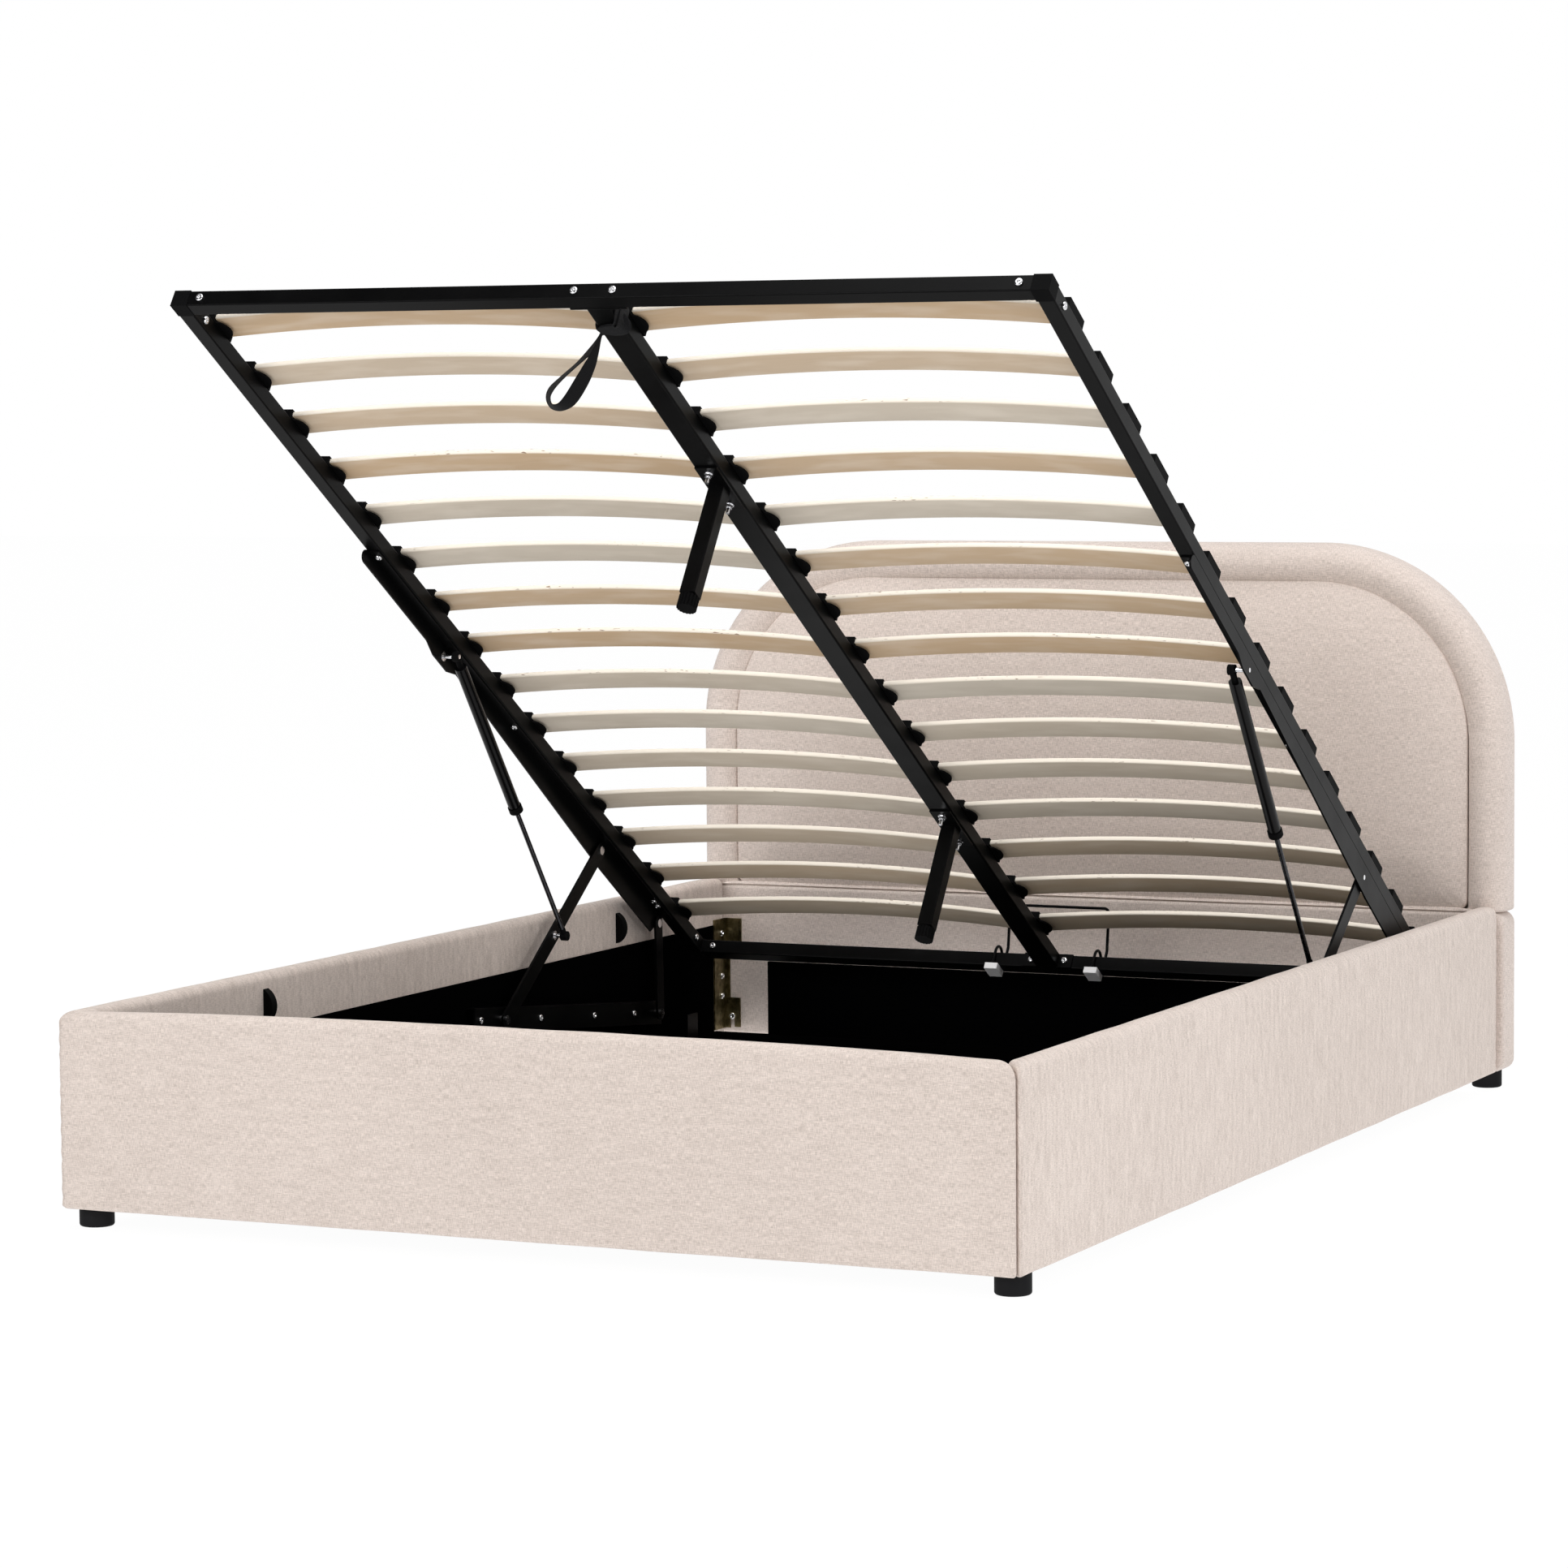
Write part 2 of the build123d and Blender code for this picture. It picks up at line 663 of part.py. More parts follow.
# Channel bolts: round heads inside, shanks through to the rail
with BuildPart() as channel_bolt_set:
    for side in (-1, 1):
        with BuildSketch(line_plane(side * (web_inner - screw_height), front_pivot, rear_pivot)):
            with Locations(*[(place, 0) for place in channel_bolts]):
                Circle(screw_radius)
        extrude(amount=side * screw_height)
        with BuildSketch(line_plane(side * web_inner, front_pivot, rear_pivot)):
            with Locations(*[(place, 0) for place in channel_bolts]):
                Circle(screw_shank_radius)
        extrude(amount=side * (liner_inner - web_inner))
        with BuildSketch(line_plane(side * (web_inner - screw_height), front_pivot, rear_pivot)):
            with Locations(*[(place, 0) for place in channel_bolts]):
                RegularPolygon(screw_socket_radius, hexagon_sides)
        extrude(amount=side * screw_socket_depth, mode=Mode.SUBTRACT)
save(channel_bolt_set.part, "channel_bolts")

# Lower pivots: shouldered pins in the channel webs; the front ones carry the front links
with BuildPart() as lower_pivots:
    for side in (-1, 1):
        head_seat = link_inner - pivot_clearance
        spacer_seat = link_outer + pivot_clearance
        cross_rod(side, head_seat, web_inner + channel_metal, front_pivot, pivot_radius)
        cross_rod(side, head_seat - pivot_head_height, head_seat, front_pivot, pivot_head_radius)
        cross_rod(side, spacer_seat, web_inner + channel_metal, rear_pivot, pivot_radius)
        for point in (front_pivot, rear_pivot):
            cross_rod(side, spacer_seat, web_inner, point, spacer_radius)
save(lower_pivots.part, "lower_pivots")


def link_bars(low, high, width, low_hole):
    """Pair of flat bars with round ends and a hole at each pivot, the upper one for a fixed rivet."""
    length = distance(low, high)
    for side in (-1, 1):
        with BuildSketch(line_plane(side * link_inner, low, high)) as outline:
            with Locations((length / 2, 0)):
                SlotCenterToCenter(length, width)
            Circle(low_hole, mode=Mode.SUBTRACT)
            with Locations((length, 0)):
                Circle(pivot_radius, mode=Mode.SUBTRACT)
        extrude(outline.sketch, amount=side * link_metal)


# Front links: the long bars that lift the deck
with BuildPart() as front_links:
    link_bars(front_pivot, front_joint, front_link_width, pivot_radius + pivot_clearance)
save(front_links.part, "front_links")

# Rear links: the short bars that steer the deck's head end
with BuildPart() as rear_links:
    link_bars(rear_pivot, rear_joint, rear_link_width, pivot_radius)
save(rear_links.part, "rear_links")

# Front rivets: pins fixed in the front links that pass through the lift arms
with BuildPart() as front_rivets:
    for side in (-1, 1):
        cross_rod(side, pin_head_inner, link_inner, front_joint, pivot_head_radius)
        cross_rod(side, link_inner, deck_half_width, front_joint, pivot_radius)
save(front_rivets.part, "front_rivets")

# Rear rivets: pins fixed in the rear links that pass through the lift arms
with BuildPart() as rear_rivets:
    for side in (-1, 1):
        cross_rod(side, pin_head_inner, link_inner, rear_joint, pivot_head_radius)
        cross_rod(side, link_inner, deck_half_width, rear_joint, pivot_radius)
save(rear_rivets.part, "rear_rivets")

# Rear lower rivets: pins fixed in the rear links' lower ends, flush with them and facing the lower pivots
with BuildPart() as rear_lower_rivets:
    for side in (-1, 1):
        cross_rod(side, pin_head_inner, link_inner, rear_pivot, pivot_head_radius)
        cross_rod(side, link_inner, link_outer, rear_pivot, pivot_radius)
save(rear_lower_rivets.part, "rear_lower_rivets")

# Lower strut studs: flanged studs on the front links facing the rod ends
with BuildPart() as lower_strut_studs:
    for side in (-1, 1):
        stud_tip = strut_plane + socket_width / 2 + joint_clearance
        cross_rod(side, link_inner - stud_flange_height, link_inner, strut_seat, stud_flange_radius)
        cross_rod(side, stud_tip, link_inner - stud_flange_height, strut_seat, stud_radius)
save(lower_strut_studs.part, "lower_strut_studs")

# Deck end tubes: one across the foot, one across the head
end_tube_half = deck_half_width - elbow_size
for name, far_edge in (("foot_tube", tube), ("head_tube", deck_length)):
    with BuildPart() as end_tube:
        y, z = deck_point(far_edge - tube / 2, -tube / 2)
        section = Plane(origin=(-end_tube_half, y, z), x_dir=(0, cos(tilt), -sin(tilt)), z_dir=(1, 0, 0))
        with BuildSketch(section):
            square_tube(tube, tube, tube_corner, tube_wall)
        extrude(amount=2 * end_tube_half)
    save(end_tube.part, name)

# Deck side tubes: one along each side
side_tube_start = elbow_size
side_tube_length = deck_length - 2 * elbow_size
for name, side in (("left_tube", -1), ("right_tube", 1)):
    with BuildPart() as side_tube:
        with BuildSketch(deck_section(side_tube_start)):
            with Locations((side * (deck_half_width - tube / 2), -tube / 2)):
                square_tube(tube, tube, tube_corner, tube_wall)
        extrude(amount=-side_tube_length)
    save(side_tube.part, name)

# Corner elbows: plastic corners with a tongue into each tube
with BuildPart() as corner_elbows:
    tongue = tube - 2 * tube_wall - 2 * elbow_play
    mid_n = -tube / 2
    n_ends = (-tube - elbow_proud, elbow_proud)
    tongue_n = (mid_n - tongue / 2, mid_n + tongue / 2)
    for side in (-1, 1):
        outer = deck_half_width + elbow_proud
        tongue_x = (deck_half_width - tube / 2 - tongue / 2, deck_half_width - tube / 2 + tongue / 2)
        for edge, direction in ((0, 1), (deck_length, -1)):
            t_ends = (edge - direction * elbow_proud, edge + direction * elbow_size)
            across_t = (
                edge + direction * (tube / 2 - tongue / 2),
                edge + direction * (tube / 2 + tongue / 2),
            )
            along_t = (edge + direction * elbow_size, edge + direction * (elbow_size + elbow_tongue))
            deck_block((side * end_tube_half, side * outer), t_ends, n_ends)
            deck_block((side * (end_tube_half - elbow_tongue), side * end_tube_half), across_t, tongue_n)
            deck_block((side * tongue_x[0], side * tongue_x[1]), along_t, tongue_n)
save(corner_elbows.part, "corner_elbows")

# Centre beam: wider tube down the middle of the deck
beam_start = tube + beam_plate_metal
beam_length = deck_length - 2 * beam_start
with BuildPart() as centre_beam:
    with BuildSketch(deck_section(beam_start)):
        with Locations((0, -tube / 2)):
            square_tube(beam_width, tube, beam_corner, tube_wall)
    extrude(amount=-beam_length)
save(centre_beam.part, "centre_beam")

# Beam plates: flanges at the beam's ends that bolt to the end tubes
with BuildPart() as beam_plates:
    for start in (tube, deck_length - tube - beam_plate_metal):
        deck_block(
            (-beam_plate_width / 2, beam_plate_width / 2),
            (start, start + beam_plate_metal),
            (-tube, 0),
        )
save(beam_plates.part, "beam_plates")


def screw_heads(seat, places, way):
    """Round heads with a hexagon socket, standing on a plane; way is 1 along its normal or -1 against."""
    with BuildSketch(seat) as heads:
        with Locations(*places):
            Circle(screw_radius)
    extrude(heads.sketch, amount=way * screw_height)
    with BuildSketch(seat.offset(way * screw_height)) as sockets:
        with Locations(*places):
            RegularPolygon(screw_socket_radius, hexagon_sides)
    extrude(sockets.sketch, amount=-way * screw_socket_depth, mode=Mode.SUBTRACT)


# Frame bolts: heads on the end tubes, through to the elbows and the beam plates
with BuildPart() as frame_bolts:
    foot_places = [(x, mid_n) for x in (-corner_bolt_x, -beam_bolt_x, beam_bolt_x, corner_bolt_x)]
    screw_heads(deck_section(0), foot_places, 1)
    head_corner_places = [(x, mid_n) for x in (-corner_bolt_x, corner_bolt_x)]
    screw_heads(deck_section(deck_length - tube), head_corner_places, 1)
    head_beam_places = [(x, mid_n) for x in (-beam_bolt_x, beam_bolt_x)]
    screw_heads(deck_section(deck_length - tube - beam_plate_metal), head_beam_places, 1)
    for t in (side_bolt_inset, deck_length - side_bolt_inset):
        screw_heads(deck_side(-tube_inner), [(t, mid_n)], 1)
        screw_heads(deck_side(deck_half_width), [(t, mid_n)], 1)
save(frame_bolts.part, "frame_bolts")


def slat_face(side, play):
    """Arched slat seen along the deck, grown on every side by some play."""
    inner = slat_beam_inset - play
    outer = deck_half_width - slat_end_inset + play
    middle = (inner + outer) / 2
    low = slat_lift - play
    high = slat_lift + slat_thickness + play
    with BuildLine() as outline:
        ThreePointArc((side * inner, low), (side * middle, low + slat_crown), (side * outer, low))
        Line((side * outer, low), (side * outer, high))
        ThreePointArc((side * outer, high), (side * middle, high + slat_crown), (side * inner, high))
        Line((side * inner, high), (side * inner, low))
    make_face(outline.edges())


# Slats: sprung birch laths, one row on each side of the beam
for name, side in (("left_slats", -1), ("right_slats", 1)):
    with BuildPart() as slats:
        for place in slat_places:
            with BuildSketch(deck_section(place - slat_width / 2)):
                slat_face(side, 0)
            extrude(amount=-slat_width)
    save(slats.part, name)


def cut_slat_slots(side):
    """Slot for every slat of one side, cut out of the holders."""
    for place in slat_places:
        with BuildSketch(deck_section(place - slat_width / 2 - slat_play)) as slot:
            slat_face(side, slat_play)
        extrude(slot.sketch, amount=-(slat_width + 2 * slat_play), mode=Mode.SUBTRACT)


def holder_lips(edge_x, direction):
    """Rounded tongues under the slats, reaching past the edge of a tube."""
    with BuildSketch(deck_plane(0)) as tongues:
        for place in slat_places:
            with BuildLine():
                near = (edge_x, place - holder_lip_radius)
                far = (edge_x, place + holder_lip_radius)
                ThreePointArc(near, (edge_x + direction * holder_lip_reach, place), far)
                Line(far, near)
            make_face()
    extrude(tongues.sketch, amount=holder_lip_thickness)


# Side holders: plastic pockets on the side tubes that take the slats' outer ends
for name, side in (("left_holders", -1), ("right_holders", 1)):
    with BuildPart() as holders:
        for place in slat_places:
            deck_block(
                (side * tube_inner, side * (deck_half_width - holder_inset)),
                (place - holder_length / 2, place + holder_length / 2),
                (0, holder_height),
            )
        holder_lips(side * tube_inner, -side)
        cut_slat_slots(side)
    save(holders.part, name)

# Beam holders: double pockets on the centre beam that take the slats' inner ends
with BuildPart() as beam_holders:
    for place in slat_places:
        deck_block(
            (-twin_half, twin_half),
            (place - holder_length / 2, place + holder_length / 2),
            (0, holder_height),
        )
    for side in (-1, 1):
        holder_lips(side * twin_half, side)
        cut_slat_slots(side)
save(beam_holders.part, "beam_holders")

# Lift arms: steel angles under the side tubes that carry the linkage
with BuildPart() as lift_arms:
    nose_radius = arm_nose_depth / 2
    lobe_start = strut_joint_t - arm_lobe_half
    lobe_end = strut_joint_t + arm_lobe_half
    for side in (-1, 1):
        with BuildSketch(deck_side(side * arm_inner)):
            with BuildLine():
                ThreePointArc(
                    (arm_start + nose_radius, -tube),
                    (arm_start, -tube - nose_radius),
                    (arm_start + nose_radius, -tube - arm_nose_depth),
                )
                Polyline(
                    (arm_start + nose_radius, -tube - arm_nose_depth),
                    (lobe_start - arm_lobe_ramp, -tube - arm_nose_depth),
                    (lobe_start, -tube - arm_lobe_depth),
                    (lobe_end, -tube - arm_lobe_depth),
                    (lobe_end + arm_lobe_ramp, -tube - arm_waist_depth),
                    (arm_mid, -tube - arm_mid_depth),
                    (front_joint_t + rear_link_width, -tube - arm_low_depth),
                    (arm_tail, -tube - arm_low_depth),
                    (arm_end, -tube),
                    (arm_start + nose_radius, -tube),
                )
            make_face()
        extrude(amount=side * arm_metal)
        flange_x = (side * (deck_half_width - arm_flange_width), side * arm_inner)
        deck_block(flange_x, (arm_start + nose_radius, arm_end), (-tube - arm_flange_metal, -tube))
        cut_ends = (arm_inner - cut_overrun, deck_half_width + cut_overrun)
        rivet_hole = pivot_radius + pivot_clearance
        cross_rod(side, cut_ends[0], cut_ends[1], front_joint, rivet_hole, mode=Mode.SUBTRACT)
        cross_rod(side, cut_ends[0], cut_ends[1], rear_joint, rivet_hole, mode=Mode.SUBTRACT)
        cross_rod(side, cut_ends[0], cut_ends[1], strut_joint, stud_radius, mode=Mode.SUBTRACT)
save(lift_arms.part, "lift_arms")

# Arm screws: heads under the arm flanges
with BuildPart() as arm_screw_set:
    screw_x = deck_half_width - arm_flange_width / 2 - arm_metal
    flange_under = deck_plane(-tube - arm_flange_metal)
    for side in (-1, 1):
        screw_heads(flange_under, [(side * screw_x, deck_length - inset) for inset in arm_screw_insets], -1)
save(arm_screw_set.part, "arm_screws")

# Upper strut studs: ball studs in the lift arms that the gas struts hang on
with BuildPart() as upper_strut_studs:
    for side in (-1, 1):
        cross_rod(side, arm_inner, deck_half_width, strut_joint, stud_radius)
        cross_rod(side, arm_inner - stud_flange_height, arm_inner, strut_joint, stud_flange_radius)
        socket_inner = strut_plane - socket_width / 2
        cross_rod(side, socket_inner, arm_inner - stud_flange_height, strut_joint, stud_radius)
save(upper_strut_studs.part, "upper_strut_studs")


def strut_round(side, start, end, radius, mode=Mode.ADD):
    """Round bar along a gas strut between two distances from its upper stud."""
    run = (0, strut_seat[0] - strut_joint[0], strut_seat[1] - strut_joint[1])
    axis = Plane(origin=(side * strut_plane, strut_joint[0], strut_joint[1]), x_dir=(1, 0, 0), z_dir=run)
    with BuildSketch(axis.offset(start)) as section:
        Circle(radius)
    extrude(section.sketch, amount=end - start, mode=mode)


socket_inner = strut_plane - socket_width / 2
socket_outer = strut_plane + socket_width / 2

# Strut sockets: ball cups at the upper end of each gas strut
with BuildPart() as strut_sockets:
    for side in (-1, 1):
        cross_rod(side, socket_inner, socket_outer, strut_joint, socket_radius)
        strut_round(side, 0, strut_neck_length, socket_neck_radius)
        cross_rod(
            side,
            socket_inner - cut_overrun,
            socket_outer + cut_overrun,
            strut_joint,
            stud_radius + pivot_clearance,
            mode=Mode.SUBTRACT,
        )
save(strut_sockets.part, "strut_sockets")

# Strut cylinders: closed tubes full of gas
with BuildPart() as strut_cylinders:
    for side in (-1, 1):
        strut_round(side, strut_neck_length, strut_end, strut_radius)
        bore_start = strut_neck_length + 2 * strut_wall
        strut_round(side, bore_start, strut_end + cut_overrun, strut_radius - strut_wall, Mode.SUBTRACT)
save(strut_cylinders.part, "strut_cylinders")

# Strut collars: seals and caps that guide the rods
with BuildPart() as strut_collars:
    for side in (-1, 1):
        strut_round(side, strut_end - strut_collar_length / 2, strut_end, strut_radius - strut_wall)
        strut_round(side, strut_end, strut_end + strut_collar_length / 2, strut_collar_radius)
        strut_round(
            side,
            strut_end - strut_collar_length,
            strut_end + strut_collar_length,
            rod_radius + rod_clearance,
            Mode.SUBTRACT,
        )
save(strut_collars.part, "strut_collars")

# Strut rods: polished rods running into the cylinders
with BuildPart() as strut_rods:
    for side in (-1, 1):
        strut_round(side, rod_start + piston_length, strut_length - socket_radius, rod_radius)
save(strut_rods.part, "strut_rods")

# Strut pistons: discs on the rods' inner ends
with BuildPart() as strut_pistons:
    for side in (-1, 1):
        strut_round(side, rod_start, rod_start + piston_length, strut_radius - strut_wall - piston_clearance)
save(strut_pistons.part, "strut_pistons")

# Rod ends: lower cups that face the studs on the front links
with BuildPart() as rod_ends:
    for side in (-1, 1):
        cross_rod(side, socket_inner, socket_outer, strut_seat, socket_radius)
        strut_round(side, strut_length - 2 * socket_radius, strut_length, socket_neck_radius)
        strut_round(side, rod_start, strut_length - socket_radius, rod_radius, Mode.SUBTRACT)
save(rod_ends.part, "rod_ends")

# Leg plates: steel plates under the beam that the legs stand on
leg_top = -tube - leg_plate_metal
leg_bottom = leg_top - leg_length
with BuildPart() as leg_plates:
    for station in leg_stations:
        deck_block(
            (-leg_plate_width / 2, leg_plate_width / 2),
            (station - leg_plate_length / 2, station + leg_plate_length / 2),
            (leg_top, -tube),
        )
save(leg_plates.part, "leg_plates")

# Leg screws: threaded ends with flanged nuts under the leg plates, either side of each leg
with BuildPart() as leg_screws:
    for station in leg_stations:
        for t in (station - leg_bolt_offset, station + leg_bolt_offset):
            deck_rod(0, t, (leg_top - nut_flange_height, leg_top), nut_flange_radius)
            deck_rod(0, t, (leg_top - leg_bolt_reach, leg_top), screw_shank_radius)
            with BuildSketch(deck_plane(leg_top)):
                with Locations((0, t)):
                    RegularPolygon(nut_radius, hexagon_sides)
            extrude(amount=-nut_height)
save(leg_screws.part, "leg_screws")

# Support legs: square tubes that stand square to the deck
with BuildPart() as support_legs:
    for station in leg_stations:
        with BuildSketch(deck_plane(leg_top)):
            with Locations((0, station)):
                square_tube(leg_square, leg_square, leg_corner, leg_wall)
        extrude(amount=-leg_length)
save(support_legs.part, "support_legs")

# Leg plugs: threaded inserts closing the legs' lower ends
with BuildPart() as leg_plugs:
    plug_side = leg_square - 2 * leg_wall
    for station in leg_stations:
        with BuildSketch(deck_plane(leg_bottom)):
            with Locations((0, station)):
                RectangleRounded(plug_side, plug_side, leg_corner - leg_wall / 2)
                Circle(glide_stem_radius + glide_stem_clearance, mode=Mode.SUBTRACT)
        extrude(amount=leg_plug_height)
save(leg_plugs.part, "leg_plugs")


def levelling_foot(station):
    """Ribbed round foot on a stem that screws into the leg plug."""
    foot_top = leg_bottom - glide_gap
    with BuildSketch(deck_plane(foot_top)) as foot_plan:
        with Locations((0, station)):
            Circle(glide_foot_radius)
            with PolarLocations(glide_foot_radius, glide_rib_count):
                Circle(glide_rib_depth, mode=Mode.SUBTRACT)
    extrude(foot_plan.sketch, amount=-glide_foot_height)
    deck_rod(0, station, (foot_top, foot_top + glide_stem_length), glide_stem_radius)


# Levelling feet: one under each support leg
with BuildPart() as front_leveller:
    levelling_foot(leg_stations[0])
save(front_leveller.part, "front_levelling_foot")

with BuildPart() as rear_leveller:
    levelling_foot(leg_stations[1])
save(rear_leveller.part, "rear_levelling_foot")

# Pull strap: webbing wrapped round the beam, with a loop hanging below it
with BuildPart() as pull_strap:
    wrap_in = strap_clearance
    wrap_out = strap_clearance + strap_thickness
    with BuildSketch(deck_section(strap_t - strap_width / 2)):
        with Locations((0, -tube / 2)):
            RectangleRounded(beam_width + 2 * wrap_out, tube + 2 * wrap_out, beam_corner + wrap_out)
            RectangleRounded(
                beam_width + 2 * wrap_in, tube + 2 * wrap_in, beam_corner + wrap_in, mode=Mode.SUBTRACT
            )
    extrude(amount=-strap_width)
    root_y, root_z = deck_point(strap_t, -tube - (wrap_in + wrap_out) / 2)
    lean = radians(strap_lean)
    down = Vector(-sin(lean), 0, -cos(lean))
    across = Vector(cos(lean), 0, -sin(lean))
    root = Vector(strap_x, root_y, root_z) - across * (strap_width / 2)
    hang = Plane(origin=root, x_dir=down, z_dir=across)
    belly = strap_drop + strap_belly_share * strap_loop_length
    tip = strap_drop + strap_loop_length
    with BuildSketch(hang):
        with BuildLine():
            Line((0, strap_thickness), (0, -strap_thickness))
            Line((0, -strap_thickness), (strap_drop, -strap_thickness))
            ThreePointArc((strap_drop, -strap_thickness), (belly, -strap_loop_half), (tip, 0))
            ThreePointArc((tip, 0), (belly, strap_loop_half), (strap_drop, strap_thickness))
            Line((strap_drop, strap_thickness), (0, strap_thickness))
        make_face()
    extrude(amount=strap_width)
    inner_half = strap_loop_half - strap_thickness
    with BuildSketch(hang.offset(-cut_overrun)):
        with BuildLine():
            ThreePointArc(
                (strap_drop + strap_seam, 0),
                (belly, -inner_half),
                (tip - strap_thickness, 0),
            )
            ThreePointArc(
                (tip - strap_thickness, 0),
                (belly, inner_half),
                (strap_drop + strap_seam, 0),
            )
        make_face()
    extrude(amount=strap_width + 2 * cut_overrun, mode=Mode.SUBTRACT)
    with BuildSketch(deck_section(strap_t - strap_width)):
        with Locations((0, -tube / 2)):
            RectangleRounded(beam_width + 2 * wrap_in, tube + 2 * wrap_in, beam_corner + wrap_in)
    extrude(amount=-2 * strap_width, mode=Mode.SUBTRACT)
save(pull_strap.part, "pull_strap")


def wire_point(x, t, n):
    """World point of the wire's centre line."""
    y, z = deck_point(t, n)
    return (x, y, z)


# Mattress retainer: bent wire that hooks over the head tube and stands up behind it
with BuildPart() as retainer_wire:
    front_t = deck_length - tube - wire_clearance - wire_radius
    back_t = deck_length + wire_clearance + wire_radius
    outer_t = back_t + 2 * wire_bend
    hook_radius = (back_t - front_t) / 2
    left_x = wire_centre_x - wire_half_width
    right_x = wire_centre_x + wire_half_width
    wire_start_n = -tube - block_height + block_floor
    with BuildLine():
        left_start = wire_point(left_x, front_t, wire_start_n)
        left_front = wire_point(left_x, front_t, 0)
        left_over = wire_point(left_x, (front_t + back_t) / 2, hook_radius)
        left_back = wire_point(left_x, back_t, 0)
        left_dip = wire_point(left_x, back_t, -wire_dip)
        left_turn = wire_point(left_x, back_t + wire_bend, -wire_dip - wire_bend)
        left_rise = wire_point(left_x, outer_t, -wire_dip)
        Line(left_start, left_front)
        ThreePointArc(left_front, left_over, left_back)
        Line(left_back, left_dip)
        ThreePointArc(left_dip, left_turn, left_rise)
        right_start = wire_point(right_x, front_t, wire_start_n)
        right_front = wire_point(right_x, front_t, 0)
        right_over = wire_point(right_x, (front_t + back_t) / 2, hook_radius)
        right_back = wire_point(right_x, back_t, 0)
        right_dip = wire_point(right_x, back_t, -wire_dip)
        right_turn = wire_point(right_x, back_t + wire_bend, -wire_dip - wire_bend)
        right_rise = wire_point(right_x, outer_t, -wire_dip)
        FilletPolyline(
            left_rise,
            wire_point(left_x, outer_t, wire_waist),
            wire_point(left_x, outer_t - wire_lean, wire_rise),
            wire_point(right_x, outer_t - wire_lean, wire_rise),
            wire_point(right_x, outer_t, wire_waist),
            right_rise,
            radius=wire_bend,
        )
        ThreePointArc(right_rise, right_turn, right_dip)
        Line(right_dip, right_back)
        ThreePointArc(right_back, right_over, right_front)
        Line(right_front, right_start)
    with BuildSketch(Plane(origin=left_start, z_dir=(0, sin(tilt), cos(tilt)))):
        Circle(wire_radius)
    sweep()
save(retainer_wire.part, "mattress_retainer")

# Retainer blocks: plastic blocks under the head tube that hold the wire's ends
with BuildPart() as retainer_blocks:
    block_start = deck_length - tube - block_lead
    for x in (left_x, right_x):
        deck_block(
            (x - block_width / 2, x + block_width / 2),
            (block_start, block_start + block_length),
            (-tube - block_height, -tube),
        )
        deck_rod(x, front_t, (wire_start_n, -tube + cut_overrun), wire_radius, mode=Mode.SUBTRACT)
save(retainer_blocks.part, "retainer_blocks")

print("front pivot", front_pivot, "rear pivot", rear_pivot)
print("front joint", front_joint, "rear joint", rear_joint)
print("strut joint", strut_joint, "strut seat", strut_seat, "strut length", strut_length)
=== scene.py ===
"""Dresses the lift-up storage bed: padded panels, sprung slats, ironwork, webbing, floor, light and camera.

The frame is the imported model's own: metres, +X to the bed's right, +Y toward the headboard, +Z up.
"""

import json
import logging
import math
from dataclasses import dataclass
from enum import Enum

import bmesh
import bpy
import numpy as np
from mathutils import Matrix, Vector

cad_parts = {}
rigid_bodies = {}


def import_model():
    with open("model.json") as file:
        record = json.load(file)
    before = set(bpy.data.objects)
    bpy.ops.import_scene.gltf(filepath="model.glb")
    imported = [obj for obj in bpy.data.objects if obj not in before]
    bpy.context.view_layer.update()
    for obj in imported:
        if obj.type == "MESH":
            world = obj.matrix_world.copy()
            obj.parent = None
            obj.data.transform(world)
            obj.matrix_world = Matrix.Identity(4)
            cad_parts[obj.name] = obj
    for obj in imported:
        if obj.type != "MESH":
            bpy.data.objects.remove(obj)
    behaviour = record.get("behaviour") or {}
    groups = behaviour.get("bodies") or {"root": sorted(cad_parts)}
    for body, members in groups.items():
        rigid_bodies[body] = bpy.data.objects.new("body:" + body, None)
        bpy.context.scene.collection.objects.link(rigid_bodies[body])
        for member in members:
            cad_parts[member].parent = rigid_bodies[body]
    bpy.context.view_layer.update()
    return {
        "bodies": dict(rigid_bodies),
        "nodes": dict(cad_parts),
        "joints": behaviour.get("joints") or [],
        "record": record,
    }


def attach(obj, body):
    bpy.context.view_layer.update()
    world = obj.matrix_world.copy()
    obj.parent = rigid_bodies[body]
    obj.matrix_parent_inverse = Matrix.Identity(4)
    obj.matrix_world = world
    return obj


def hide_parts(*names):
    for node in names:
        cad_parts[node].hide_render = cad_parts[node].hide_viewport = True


LOG = logging.getLogger("bed")

FOOT_FACE = -1.0825
HEAD_FACE = 1.0175
HALF_WIDTH = 0.735
RAIL_DEPTH = 0.034
RAIL_LOW = 0.030
RAIL_HIGH = 0.310
SEAM_HEIGHT = 0.298


Triple = tuple[float, float, float]


class Body(Enum):
    """The bodies that the pieces ride on."""

    BASE = "base"
    DECK = "deck"


class Grain(Enum):
    """The way the cloth's threads run on a panel."""

    ACROSS = "across"
    UPRIGHT = "upright"


# Shader expressions


